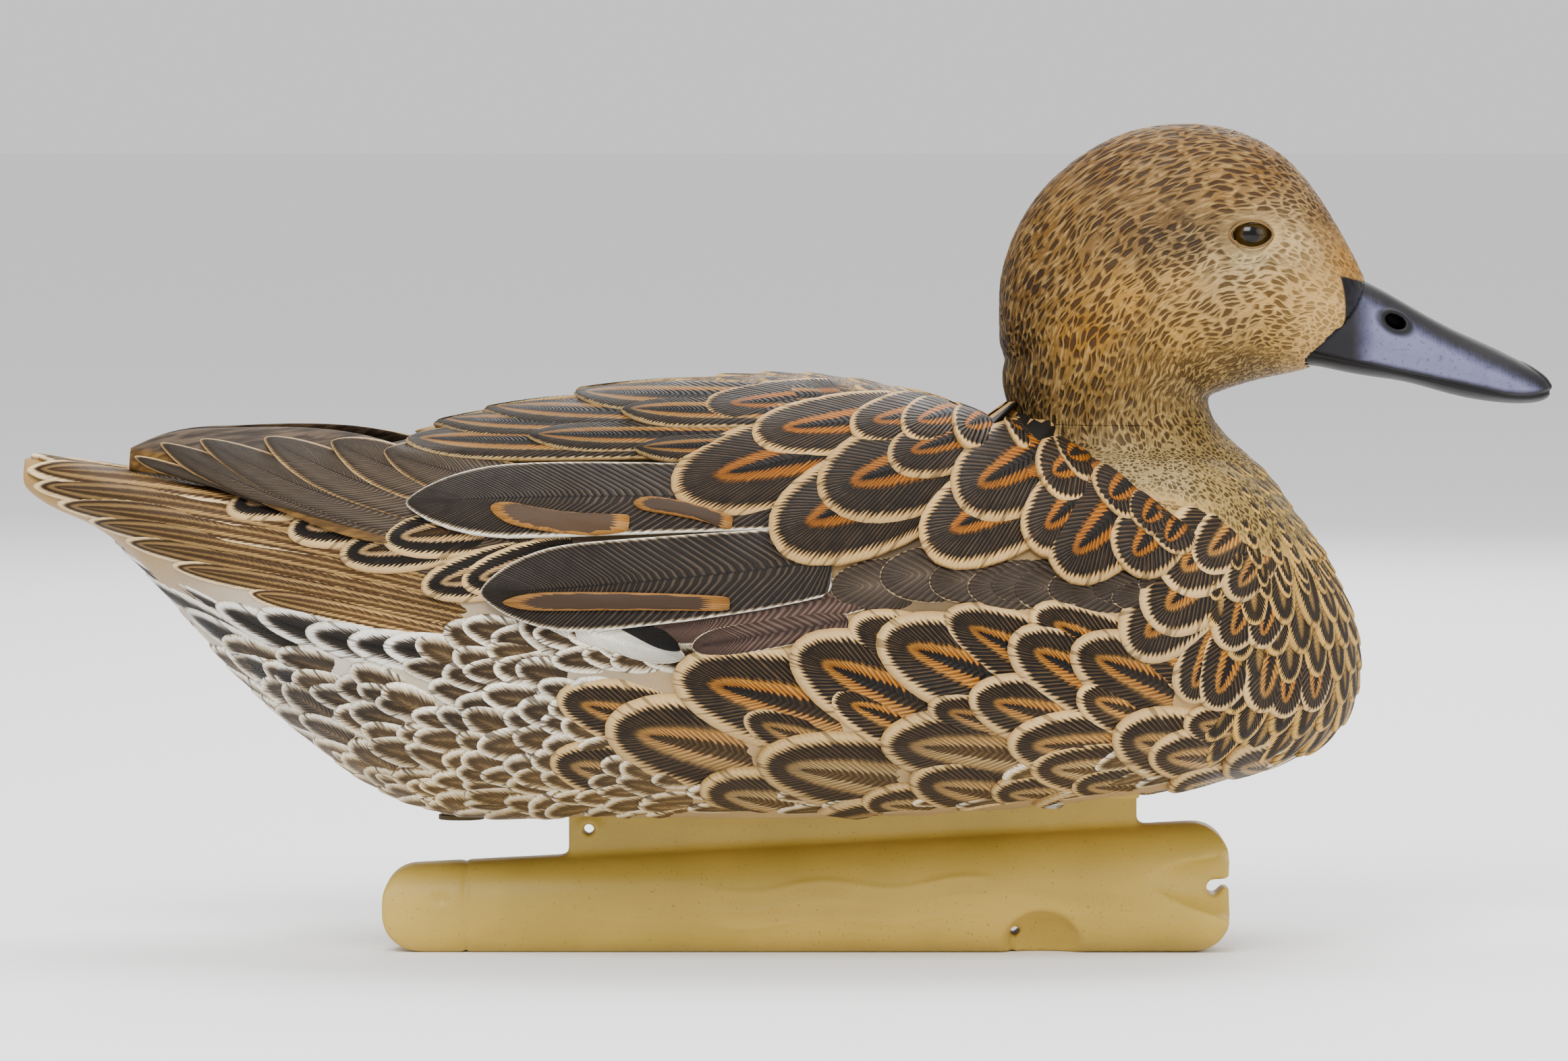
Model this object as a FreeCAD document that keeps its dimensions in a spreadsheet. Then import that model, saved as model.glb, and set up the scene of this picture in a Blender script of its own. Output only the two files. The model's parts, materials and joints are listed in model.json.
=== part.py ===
"""A floating hen duck decoy: hollow moulded body and head, bill, eyes, wing tips and a weighted keel.

The row frame has +X towards the bill, +Y to the bird's left and +Z up.
The origin is on the keel's flat foot, below the middle of the decoy's length.
"""

import FreeCAD
import Part
import Sketcher
import math
import os

from FreeCAD import Placement, Rotation, Vector

OUT_FOLDER = "parts"
SHEET_NAME = "sizes"
SECTION_POINTS = 16

# Single driving dimensions, in millimetres: alias, value, what it is.
DIMENSIONS = (
    ("wall", 3.0, "wall of the hollow body and head"),
    ("body_fullness", 2.25, "superellipse power of the body's cross-section"),
    ("body_cavity_start", -146.0, "rear end of the hollow inside the body"),
    ("body_cavity_end", 158.0, "front end of the hollow inside the body"),
    ("neck_joint_height", 150.0, "height of the joint between body and head"),
    ("spigot_length", 12.0, "how far the head's spigot goes down into the neck"),
    ("fit_gap", 0.2, "clearance round the pieces that plug in"),
    ("eye_forward", 130.0, "eye centre, along X"),
    ("eye_height", 203.5, "eye centre, along Z"),
    ("eye_radius", 5.6, "radius of the eye's rim"),
    ("eye_rim", 1.2, "thickness of the eye's rim"),
    ("eye_dome", 2.4, "height of the eye's dome above its rim"),
    ("eye_stem_radius", 2.0, "radius of the eye's stem"),
    ("eye_stem_length", 5.0, "length of the eye's stem"),
    ("eye_seat", 19.6, "distance of the eye's back face from the middle plane"),
    ("eye_toe_in", 12.0, "angle in degrees by which each eye looks forward"),
    ("nostril_forward", 171.9, "nostril centre, along X"),
    ("nostril_height", 178.8, "nostril centre, along Z"),
    ("nostril_length", 5.4, "length of the nostril"),
    ("nostril_width", 3.0, "height of the nostril"),
    ("nostril_tilt", 27.0, "fall of the nostril towards the tip, in degrees"),
    ("septum", 3.0, "thickness of the wall between the two nostrils"),
    ("keel_rear", -114.3, "rear end of the keel"),
    ("keel_front", 125.8, "front end of the keel"),
    ("keel_rear_top", 24.5, "height of the keel at its rear end"),
    ("keel_front_top", 37.4, "height of the keel at its front end"),
    ("keel_rear_width", 22.0, "width of the keel at its rear end"),
    ("keel_front_width", 30.0, "width of the keel at its front end"),
    ("keel_foot_width", 15.0, "width of the keel's flat foot"),
    ("keel_corner", 11.0, "corner radius of the keel in side view"),
    ("keel_wall", 2.4, "wall of the hollow keel"),
    ("plug_joint", -90.6, "where the end plug meets the keel, along X"),
    ("plug_spigot_length", 10.0, "length of the end plug's spigot"),
    ("web_rear", -61.5, "rear edge of the keel's web"),
    ("web_front", 99.7, "front edge of the keel's web"),
    ("web_thickness", 7.0, "thickness of the keel's web"),
    ("flange_top", 48.0, "height of the belly's recessed seat for the keel's flange"),
    ("flange_thickness", 3.0, "thickness of the keel's flange"),
    ("flange_width", 46.0, "width of the keel's flange"),
    ("anchor_hole_forward", -55.8, "anchor hole centre, along X"),
    ("anchor_hole_height", 34.6, "anchor hole centre, along Z"),
    ("anchor_hole_radius", 1.6, "radius of the anchor hole"),
    ("anchor_boss_radius", 3.4, "radius of the boss round the anchor hole"),
    ("anchor_boss_length", 8.6, "length of the boss along Y"),
    ("nose_slot_height", 19.4, "centre height of the cord slot in the keel's nose"),
    ("nose_slot_gap", 2.2, "gap of the nose slot"),
    ("nose_slot_depth", 5.6, "depth of the nose slot from the keel's front end"),
    ("nose_pocket_radius", 2.2, "radius of the cord pocket at the slot's end"),
    ("foot_slot_forward", 64.4, "centre of the cord slot in the keel's foot, along X"),
    ("foot_slot_gap", 1.7, "gap of the foot slot"),
    ("foot_slot_depth", 7.5, "height of the foot slot"),
    ("ballast_gap", 0.6, "clearance round the ballast slugs"),
    ("ballast_split", 22.0, "rear face of the front slug, along X"),
    ("rear_slug_front", -8.0, "front face of the rear slug, along X"),
    ("screw_row", 16.5, "distance of each row of keel screws from the middle plane"),
    ("screw_pitch", 56.0, "distance between the screws of a row"),
    ("screw_middle", 19.0, "middle of the screw rows, along X"),
    ("screw_shank_radius", 1.9, "radius of a screw's shank"),
    ("screw_shank_length", 13.0, "length of a screw below its head"),
    ("screw_head_radius", 3.8, "radius of a screw's head"),
    ("screw_head_height", 2.4, "height of a screw's head"),
    ("screw_socket_radius", 1.5, "radius of the drive socket in a screw's head"),
    ("screw_socket_depth", 1.5, "depth of the drive socket in a screw's head"),
    ("washer_radius", 4.6, "outer radius of a washer"),
    ("washer_thickness", 0.8, "thickness of a washer"),
    ("boss_radius", 4.6, "radius of the screw bosses inside the belly"),
    ("boss_height", 12.0, "height of the screw bosses above the belly's seat"),
    ("drain_forward", -92.0, "centre of the drain plug, along X"),
    ("drain_radius", 4.0, "radius of the drain plug's shank"),
    ("drain_flange_radius", 6.5, "radius of the drain plug's flange"),
    ("drain_flange_height", 1.2, "thickness of the drain plug's flange"),
    ("drain_length", 8.0, "length of the drain plug's shank"),
    ("drain_seat", 38.5, "height of the flat seat of the drain plug"),
    ("drain_boss_height", 5.0, "height of the boss round the drain hole, inside the belly"),
    ("drain_chamfer", 0.8, "how far the drain plug's lead-in is drawn in"),
    ("drain_lead", 1.2, "length of the drain plug's lead-in"),
    ("wing_thickness", 3.4, "thickness of a wing tip"),
    ("seat_rim", 3.0, "rim of solid plastic round the keel's seat in the belly"),
    ("socket_wall", 2.5, "plastic round the bill's socket"),
    ("flute_start_forward", 94.0, "small end of the nose flute, along X"),
    ("flute_start_side", 21.5, "small end of the nose flute, from the middle plane"),
    ("flute_start_height", 23.0, "small end of the nose flute, along Z"),
    ("flute_end_forward", 134.0, "large end of the nose flute, along X"),
    ("flute_end_side", 13.5, "large end of the nose flute, from the middle plane"),
    ("flute_start_radius", 4.5, "radius of the nose flute's small end"),
    ("flute_end_radius", 10.5, "radius of the nose flute's large end"),
    ("scoop_ahead", 8.0, "how far the foot scoop's centre is ahead of the foot slot"),
    ("scoop_side", 17.0, "distance of the foot scoop's centre from the middle plane"),
    ("scoop_radius", 12.8, "radius of the foot scoop"),
    ("nose_solid", 15.0, "length of solid plastic in the keel's nose"),
    ("foot_wall", 3.0, "plastic round the foot slot, inside the keel"),
    ("throat_radius", 1.4, "radius of the foot slot's round end"),
    ("throat_ahead", 0.6, "how far the foot slot's round end is ahead of the slot"),
    ("throat_drop", 1.2, "how far its centre is below the slot's top"),
    ("front_slug_length", 100.0, "length of the window that cuts the front slug, past the keel's nose"),
    ("screw_rounding", 1.0, "how far a screw head's lower edge is drawn in"),
    ("screw_point", 3.0, "length of a screw's point"),
)
# Worked out in the sheet: alias, formula, what it is.
DERIVED = (
    ("eye_stem_end", "=-eye_stem_length", "inner end of the eye's stem"),
    ("eye_top", "=eye_rim + eye_dome", "top of the eye's dome"),
    ("drain_low", "=-drain_flange_height", "underside of the drain plug"),
    ("drain_lead_in", "=drain_radius - drain_chamfer", "radius of the drain plug's upper end"),
    ("drain_lead_start", "=drain_length - drain_lead", "where the drain plug's lead-in starts"),
    ("screw_low", "=-screw_head_height", "underside of a screw's head"),
    ("screw_edge", "=screw_head_radius - screw_rounding", "radius of the head's flat underside"),
    ("screw_floor", "=screw_socket_depth - screw_head_height", "floor of the drive socket"),
    ("screw_shoulder", "=-screw_head_height / 2", "where the head's rounding starts"),
    ("screw_taper", "=screw_shank_length - screw_point", "where a screw's point starts"),
)

# Table of offsets: position along the loft, then the lines that the section passes through.
BODY_COLUMNS = ("x", "top", "bottom", "half", "mid")
BODY_STATIONS = (
    (-216.3, 141.0, 131.5, 9.5, 135.0),
    (-196.0, 138.0, 120.0, 23.0, 129.0),
    (-178.0, 135.5, 104.0, 34.5, 123.0),
    (-156.0, 135.0, 79.0, 44.0, 113.0),
    (-134.0, 138.0, 59.0, 55.0, 104.0),
    (-114.0, 143.5, 45.0, 63.0, 98.0),
    (-88.0, 151.0, 38.0, 71.0, 94.0),
    (-50.0, 158.5, 36.9, 77.5, 92.0),
    (-4.0, 164.0, 36.8, 80.0, 91.0),
    (40.0, 157.5, 38.0, 80.0, 90.0),
    (80.0, 146.0, 41.3, 77.0, 88.0),
    (110.0, 146.0, 45.6, 68.0, 86.0),
    (132.0, 137.0, 50.2, 55.0, 84.0),
    (148.0, 120.0, 55.8, 39.5, 83.0),
    (158.0, 103.0, 64.0, 22.0, 82.0),
    (163.0, 87.0, 76.0, 6.0, 81.5),
)
NECK_COLUMNS = ("z", "back", "front", "half")
NECK_STATIONS = (
    (104.0, 88.0, 153.5, 47.0),
    (118.0, 80.0, 148.5, 43.0),
    (130.0, 73.5, 141.0, 36.5),
    (141.0, 68.0, 131.0, 29.5),
    (150.0, 64.6, 122.0, 25.0),
    (156.0, 62.6, 119.8, 24.0),
    (164.0, 61.4, 121.5, 24.0),
    (176.0, 62.0, 116.0, 23.0),
)
HEAD_COLUMNS = BODY_COLUMNS
HEAD_STATIONS = (
    (60.6, 188.5, 173.0, 7.0, 181.0),
    (66.0, 206.0, 162.0, 15.5, 182.0),
    (75.5, 219.0, 155.0, 20.5, 184.0),
    (88.5, 228.6, 152.0, 24.0, 186.0),
    (101.0, 233.4, 152.0, 25.4, 187.0),
    (114.5, 234.6, 155.5, 25.8, 187.5),
    (128.5, 232.3, 160.6, 25.0, 187.5),
    (142.0, 224.4, 163.8, 22.4, 187.0),
    (151.0, 213.8, 166.6, 19.2, 186.0),
    (157.5, 203.2, 170.5, 15.6, 186.0),
    (162.6, 193.5, 177.0, 10.0, 185.5),
    (164.6, 188.8, 182.0, 4.5, 185.4),
)
BILL_COLUMNS = BODY_COLUMNS
BILL_STATIONS = (
    (138.0, 186.0, 170.0, 9.0, 175.0),
    (148.0, 190.5, 166.2, 12.6, 172.0),
    (157.0, 192.4, 164.6, 13.6, 171.0),
    (164.0, 190.0, 163.3, 13.6, 169.5),
    (175.0, 184.0, 161.6, 12.8, 167.0),
    (188.5, 176.6, 158.0, 12.2, 163.2),
    (200.0, 171.4, 155.9, 12.8, 160.6),
    (208.0, 167.4, 155.4, 12.2, 159.4),
    (213.2, 164.3, 155.9, 9.4, 159.0),
    (216.3, 161.0, 157.6, 4.0, 159.0),
)
# A wing tip's section runs from its inner upper edge to its outer lower edge.
WING_COLUMNS = ("x", "inner", "upper", "outer", "lower")
WING_STATIONS = (
    (-185.0, 5.0, 142.8, 11.0, 137.0),
    (-172.0, 6.0, 147.6, 21.0, 135.5),
    (-150.0, 10.0, 149.0, 38.0, 130.5),
    (-122.0, 22.0, 148.0, 56.5, 121.0),
    (-88.0, 42.0, 143.0, 70.5, 107.0),
    (-58.0, 60.0, 131.0, 76.5, 100.0),
)
TABLES = (
    ("body", BODY_COLUMNS, BODY_STATIONS),
    ("neck", NECK_COLUMNS, NECK_STATIONS),
    ("head", HEAD_COLUMNS, HEAD_STATIONS),
    ("bill", BILL_COLUMNS, BILL_STATIONS),
    ("wing", WING_COLUMNS, WING_STATIONS),
)


def fill_sheet(doc):
    """Writes every driving dimension to the sheet, each under its own alias."""
    sheet = doc.addObject("Spreadsheet::Sheet", SHEET_NAME)
    row = 1
    entries = list(DIMENSIONS)
    for table, columns, stations in TABLES:
        for number, station in enumerate(stations, start=1):
            for column, value in zip(columns, station):
                alias = f"{table}_{column}_{number}"
                entries.append((alias, value, f"{table} station {number}, {column}"))
    entries += DERIVED
    for alias, value, meaning in entries:
        sheet.set(f"A{row}", meaning)
        sheet.set(f"B{row}", str(value))
        sheet.setAlias(f"B{row}", alias)
        row += 1
    doc.recompute()
    return sheet


def read_stations(sheet, table):
    """The table's stations as dictionaries, read back from the sheet."""
    columns, stations = next((c, s) for name, c, s in TABLES if name == table)
    return [
        {column: float(sheet.get(f"{table}_{column}_{number}")) for column in columns}
        for number in range(1, len(stations) + 1)
    ]


def closed_spline(points):
    """A closed smooth wire through the points."""
    curve = Part.BSplineCurve()
    curve.interpolate(Points=points, PeriodicFlag=True)
    return Part.Wire([curve.toShape()])


def turn(angle, power):
    """Cosine and sine of the angle, squared off by a superellipse's power."""
    c, s = math.cos(angle), math.sin(angle)
    return (
        math.copysign(abs(c) ** (2 / power), c),
        math.copysign(abs(s) ** (2 / power), s),
    )


def angles():
    return [2 * math.pi * i / SECTION_POINTS for i in range(SECTION_POINTS)]


def cross_section(station, power, inset=0.0):
    """A section across X, symmetric about the middle plane, drawn in by the inset."""
    top = station["top"] - inset
    bottom = station["bottom"] + inset
    half = station["half"] - inset
    mid = min(max(station["mid"], bottom + 0.2 * (top - bottom)), top - 0.2 * (top - bottom))
    points = []
    for angle in angles():
        c, s = turn(angle, power)
        reach = top - mid if s > 0 else mid - bottom
        points.append(Vector(station["x"], half * c, mid + reach * s))
    return closed_spline(points)


def level_section(station, inset=0.0):
    """A section across Z, symmetric about the middle plane, drawn in by the inset."""
    back = station["back"] + inset
    front = station["front"] - inset
    half = station["half"] - inset
    middle, reach = (back + front) / 2, (front - back) / 2
    points = [
        Vector(middle + reach * math.cos(a), half * math.sin(a), station["z"])
        for a in angles()
    ]
    return closed_spline(points)


def at_position(stations, key, value):
    """A station between two others, worked out in a straight line."""
    for low, high in zip(stations, stations[1:]):
        if low[key] <= value <= high[key]:
            share = (value - low[key]) / (high[key] - low[key])
            return {k: low[k] + share * (high[k] - low[k]) for k in low}
    raise ValueError(f"no station spans {key} {value}")


def body_form(sheet):
    """The body's outside, without the neck."""
    power = sheet.body_fullness
    stations = read_stations(sheet, "body")
    return Part.makeLoft([cross_section(s, power) for s in stations], True)


def body_hollow(sheet):
    """The space inside the body: it stops short of the solid tail."""
    power = sheet.body_fullness
    stations = read_stations(sheet, "body")
    start, end = sheet.body_cavity_start, sheet.body_cavity_end
    inner = [s for s in stations if start + 4 < s["x"] < end - 4]
    ends = [at_position(stations, "x", start), at_position(stations, "x", end)]
    ordered = [ends[0], *inner, ends[1]]
    return Part.makeLoft([cross_section(s, power, sheet.wall) for s in ordered], True)


def neck_form(sheet, inset=0.0, low=None, high=None):
    """The neck between two heights, or all of it."""
    stations = read_stations(sheet, "neck")
    form = Part.makeLoft([level_section(s, inset) for s in stations], True)
    if low is None:
        return form
    slab = Part.makeBox(300, 200, high - low, Vector(0, -100, low))
    return form.common(slab)


def head_form(sheet, inset=0.0):
    """The head's outside, without the neck or bill, drawn in by the inset."""
    stations = read_stations(sheet, "head")
    if inset:
        stations = stations[1:-1]
    return Part.makeLoft([cross_section(s, 2.0, inset) for s in stations], True)


def bill_form(sheet, outset=0.0):
    """The bill with its tenon, grown by the outset."""
    stations = read_stations(sheet, "bill")
    return Part.makeLoft([cross_section(s, 2.2, -outset) for s in stations], True)


def add_feature(doc, name, shape):
    """A sub-part whose shape is worked out here, because it is free-form."""
    feature = doc.addObject("Part::Feature", name)
    feature.Label = name
    feature.Shape = shape
    return feature


def screw_places(sheet):
    """The places of the keel screws, on the underside of the flange."""
    seat = sheet.flange_top - sheet.flange_thickness
    return [
        Vector(sheet.screw_middle + step * sheet.screw_pitch, side * sheet.screw_row, seat)
        for step in (-1, 0, 1)
        for side in (-1, 1)
    ]


def make_body_shell(doc, sheet):
    """The moulded body: outside, hollow, keel seat with screw bosses, drain hole and neck."""
    neck_top = sheet.neck_joint_height
    neck_low = read_stations(sheet, "neck")[0]["z"]
    outside = body_form(sheet).fuse(neck_form(sheet, 0.0, neck_low, neck_top))
    hollow = body_hollow(sheet)
    hollow = hollow.fuse(neck_form(sheet, sheet.wall, neck_low + 6, neck_top + 1))

    seat_rim = sheet.seat_rim
    width = sheet.flange_width + 2 * sheet.fit_gap
    length = sheet.web_front - sheet.web_rear + 2 * sheet.fit_gap
    rear = sheet.web_rear - sheet.fit_gap
    seat_block = Part.makeBox(
        length + 2 * seat_rim,
        width + 2 * seat_rim,
        sheet.flange_top + sheet.wall,
        Vector(rear - seat_rim, -width / 2 - seat_rim, 0),
    )
    hollow = hollow.cut(seat_block)
    for place in screw_places(sheet):
        height = sheet.wall + sheet.boss_height
        base = Vector(place.x, place.y, sheet.flange_top)
        hollow = hollow.cut(Part.makeCylinder(sheet.boss_radius, height, base))
    drain = Vector(sheet.drain_forward, 0, sheet.drain_seat)
    boss_radius = sheet.drain_flange_radius + sheet.drain_flange_height
    hollow = hollow.cut(Part.makeCylinder(boss_radius, sheet.drain_boss_height, drain))

    shell = outside.cut(hollow)
    recess = Part.makeBox(length, width, sheet.flange_top, Vector(rear, -width / 2, 0))
    shell = shell.cut(recess)
    for place in screw_places(sheet):
        base = Vector(place.x, place.y, sheet.flange_top)
        depth = sheet.wall + sheet.boss_height - 2
        radius = sheet.screw_shank_radius + sheet.fit_gap / 4
        shell = shell.cut(Part.makeCylinder(radius, depth, base))
    drain_hole = Part.makeCylinder(sheet.drain_radius + 0.05, 20, drain)
    below = drain - Vector(0, 0, 20)
    drain_face = Part.makeCylinder(sheet.drain_flange_radius + sheet.fit_gap, 20, below)
    shell = shell.cut(drain_hole).cut(drain_face)
    return add_feature(doc, "body_shell", shell.removeSplitter())


def eye_placement(sheet, side):
    """Where an eye sits: its own axis is Z, and it points outwards on the given side."""
    position = Vector(sheet.eye_forward, side * sheet.eye_seat, sheet.eye_height)
    outward = Rotation(Vector(1, 0, 0), -90 * side)
    toe_in = Rotation(Vector(0, 0, 1), -side * sheet.eye_toe_in)
    return Placement(position, toe_in.multiply(outward))


def make_head_shell(doc, sheet):
    """The moulded head and upper neck, with a spigot for the body, a bill socket and eye seats."""
    joint = sheet.neck_joint_height
    top = read_stations(sheet, "neck")[-1]["z"]
    outside = head_form(sheet).fuse(neck_form(sheet, 0.0, joint, top))
    low = joint - sheet.spigot_length
    spigot_inset = sheet.wall + sheet.fit_gap
    straight = at_position(read_stations(sheet, "neck"), "z", joint)
    spigot_wire = level_section({**straight, "z": low}, spigot_inset)
    spigot = Part.Face(spigot_wire).extrude(Vector(0, 0, sheet.spigot_length + 2))
    bore_wire = level_section({**straight, "z": low - 1}, spigot_inset + sheet.wall)
    bore = Part.Face(bore_wire).extrude(Vector(0, 0, sheet.spigot_length + 12))
    hollow = head_form(sheet, sheet.wall).fuse(neck_form(sheet, 2 * sheet.wall, joint + 3, top))
    bill_block = bill_form(sheet, sheet.socket_wall)
    shell = outside.fuse(spigot).cut(hollow.cut(bill_block)).cut(bore)
    for side in (-1, 1):
        seat = Part.makeCylinder(sheet.eye_radius + 2, 8, Vector(0, 0, -3))
        seat.Placement = eye_placement(sheet, side)
        shell = shell.fuse(seat.common(outside))
    shell = shell.cut(bill_form(sheet, 0.1))
    for side in (-1, 1):
        socket = Part.makeCylinder(sheet.eye_radius + 0.1, 20)
        stem = Part.makeCylinder(sheet.eye_stem_radius + 0.05, 12, Vector(0, 0, -10))
        socket = socket.fuse(stem)
        socket.Placement = eye_placement(sheet, side)
        shell = shell.cut(socket)
    return add_feature(doc, "head_shell", shell)


def make_bill(doc, sheet):
    """The bill: one moulding with a slot-shaped nostril sunk into each side."""
    bill = bill_form(sheet)
    through, across = 40, Vector(0, -1, 0)
    reach, radius = (sheet.nostril_length - sheet.nostril_width) / 2, sheet.nostril_width / 2
    nostril = Part.makeBox(2 * reach, through, 2 * radius, Vector(-reach, -through / 2, -radius))
    for end in (-reach, reach):
        nostril = nostril.fuse(Part.makeCylinder(radius, through, Vector(end, through / 2, 0), across))
    septum_at = Vector(-through / 2, -sheet.septum / 2, -through / 2)
    nostril = nostril.cut(Part.makeBox(through, sheet.septum, through, septum_at))
    place = Vector(sheet.nostril_forward, 0, sheet.nostril_height)
    nostril.Placement = Placement(place, Rotation(Vector(0, 1, 0), sheet.nostril_tilt))
    return add_feature(doc, "bill", bill.cut(nostril).removeSplitter())


def wing_section(station, side, thickness):
    """A flat lens from the inner upper edge to the outer lower edge, on the given side."""
    inner = Vector(station["x"], side * station["inner"], station["upper"])
    outer = Vector(station["x"], side * station["outer"], station["lower"])
    middle, reach = (inner + outer) / 2, (outer - inner) / 2
    lift = Vector(1, 0, 0).cross(reach).normalize() * (thickness / 2)
    points = [middle + reach * math.cos(a) + lift * math.sin(a) for a in angles()]
    return closed_spline(points)


def make_wing_tips(doc, sheet):
    """The folded flight feathers of each side, lying over the tail."""
    stations = read_stations(sheet, "wing")
    thickness = sheet.wing_thickness
    blade = Part.makeLoft([wing_section(s, -1, thickness) for s in stations], True)
    blade = blade.cut(body_form(sheet))
    right = max(blade.Solids, key=lambda solid: solid.Volume)
    left = right.mirror(Vector(0, 0, 0), Vector(0, 1, 0))
    return [add_feature(doc, "right_wing_tip", right), add_feature(doc, "left_wing_tip", left)]


def body_plane(body, role):
    """One of a body's own origin planes."""
    return next(f for f in body.Origin.OriginFeatures if f.Role == role)


def profile_sketch(body, sheet, name, corners, arc_side=None):
    """A closed profile beside the body's Z axis, to be turned about it.

    corners are (radius, height), each the alias of a size in the sheet, or None for 0. The side that
    starts at corner arc_side is an arc centred on the axis; the others are straight.
    """
    sketch = body.newObject("Sketcher::SketchObject", name)
    sketch.AttachmentSupport = [(body_plane(body, "XZ_Plane"), "")]
    sketch.MapMode = "FlatFace"
    sizes = [[float(sheet.get(alias)) if alias else 0.0 for alias in corner] for corner in corners]
    points = [Vector(radius, height, 0) for radius, height in sizes]
    count = len(points)
    for i in range(count):
        start, end = points[i], points[(i + 1) % count]
        if i == arc_side:
            rise = end.y - start.y
            ball = (start.x**2 + rise**2) / (2 * rise)
            centre = Vector(0, end.y - ball, 0)
            circle = Part.Circle(centre, Vector(0, 0, 1), ball)
            first = math.atan2(start.y - centre.y, start.x)
            sketch.addGeometry(Part.ArcOfCircle(circle, first, math.pi / 2), False)
            sketch.addConstraint(Sketcher.Constraint("PointOnObject", i, 3, -2))
        else:
            sketch.addGeometry(Part.LineSegment(start, end), False)
    for i in range(count):
        sketch.addConstraint(Sketcher.Constraint("Coincident", i, 2, (i + 1) % count, 1))
    for i, corner in enumerate(corners):
        for kind, alias, value, axis in zip(("DistanceX", "DistanceY"), corner, sizes[i], (-2, -1)):
            if alias is None:
                sketch.addConstraint(Sketcher.Constraint("PointOnObject", i, 1, axis))
                continue
            number = sketch.addConstraint(Sketcher.Constraint(kind, -1, 1, i, 1, value))
            sketch.setExpression(f"Constraints[{number}]", f"{SHEET_NAME}.{alias}")
    return sketch


def turned_body(doc, sheet, name, corners, arc_side=None):
    """A PartDesign body made by turning a profile about its own Z axis."""
    body = doc.addObject("PartDesign::Body", name)
    body.Label = name
    sketch = profile_sketch(body, sheet, name + "_profile", corners, arc_side)
    turned = body.newObject("PartDesign::Revolution", name + "_turned")
    turned.Profile = sketch
    turned.ReferenceAxis = (sketch, ["V_Axis"])
    turned.Angle = 360
    return body


def make_eye(doc, sheet, name, side):
    """A domed eye on a stem, seated in the side of the head."""
    corners = (
        (None, "eye_stem_end"),
        ("eye_stem_radius", "eye_stem_end"),
        ("eye_stem_radius", None),
        ("eye_radius", None),
        ("eye_radius", "eye_rim"),
        (None, "eye_top"),
    )
    body = turned_body(doc, sheet, name, corners, arc_side=4)
    doc.recompute()
    body.Placement = eye_placement(sheet, side)
    return body


def make_drain_plug(doc, sheet):
    """A soft plug that closes the drain hole in the belly."""
    corners = (
        (None, "drain_low"),
        ("drain_flange_radius", "drain_low"),
        ("drain_flange_radius", None),
        ("drain_radius", None),
        ("drain_radius", "drain_lead_start"),
        ("drain_lead_in", "drain_length"),
        (None, "drain_length"),
    )
    body = turned_body(doc, sheet, "drain_plug", corners)
    body.Placement = Placement(Vector(sheet.drain_forward, 0, sheet.drain_seat), Rotation())
    return body


# Half of a pan-head screw, point upwards, with its head's bearing face at height 0.
SCREW_CORNERS = (
    (None, "screw_floor"),
    ("screw_socket_radius", "screw_floor"),
    ("screw_socket_radius", "screw_low"),
    ("screw_edge", "screw_low"),
    ("screw_head_radius", "screw_shoulder"),
    ("screw_head_radius", None),
    ("screw_shank_radius", None),
    ("screw_shank_radius", "screw_taper"),
    (None, "screw_shank_length"),
)


def make_fasteners(doc, sheet):
    """Six screws and six washers: each kind is one node of separate solids."""
    pattern = turned_body(doc, sheet, "one_screw", SCREW_CORNERS)
    ring = doc.addObject("Part::Cylinder", "washer_disc")
    ring.setExpression("Radius", f"{SHEET_NAME}.washer_radius")
    ring.setExpression("Height", f"{SHEET_NAME}.washer_thickness")
    hole = doc.addObject("Part::Cylinder", "washer_hole")
    hole.setExpression("Radius", f"{SHEET_NAME}.screw_shank_radius + {SHEET_NAME}.fit_gap")
    hole.setExpression("Height", f"{SHEET_NAME}.washer_thickness")
    washer = doc.addObject("Part::Cut", "one_washer")
    washer.Base, washer.Tool = ring, hole
    doc.recompute()
    groups = []
    drop = Vector(0, 0, sheet.washer_thickness)
    for name, source in (("keel_screws", pattern), ("keel_washers", washer)):
        copies = []
        for place in screw_places(sheet):
            copy = source.Shape.copy()
            copy.Placement = Placement(place - drop, Rotation())
            copies.append(copy)
        groups.append(add_feature(doc, name, Part.makeCompound(copies)))
    return groups


# The keel's side above its foot: share of its half width, and of its height.
KEEL_OUTLINE = ((0.93, 0.16), (1.0, 0.42), (0.9, 0.7), (0.55, 0.93), (0.0, 1.0))


def keel_section(sheet, share, inset):
    """The keel's section across X, a share of the way from its rear to its front."""
    top = sheet.keel_rear_top + share * (sheet.keel_front_top - sheet.keel_rear_top) - inset
    width = sheet.keel_rear_width + share * (sheet.keel_front_width - sheet.keel_rear_width)
    half, foot = width / 2 - inset, sheet.keel_foot_width / 2 - inset / 2
    x = sheet.keel_rear + share * (sheet.keel_front - sheet.keel_rear)
    height = top - inset
    right = [Vector(x, foot, inset)]
    right += [Vector(x, y * half, inset + z * height) for y, z in KEEL_OUTLINE]
    left = [Vector(p.x, -p.y, p.z) for p in reversed(right[:-1])]
    curve = Part.BSplineCurve()
    curve.interpolate(right + left)
    foot_line = Part.LineSegment(left[-1], right[0])
    return Part.Wire([curve.toShape(), foot_line.toShape()])


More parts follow.
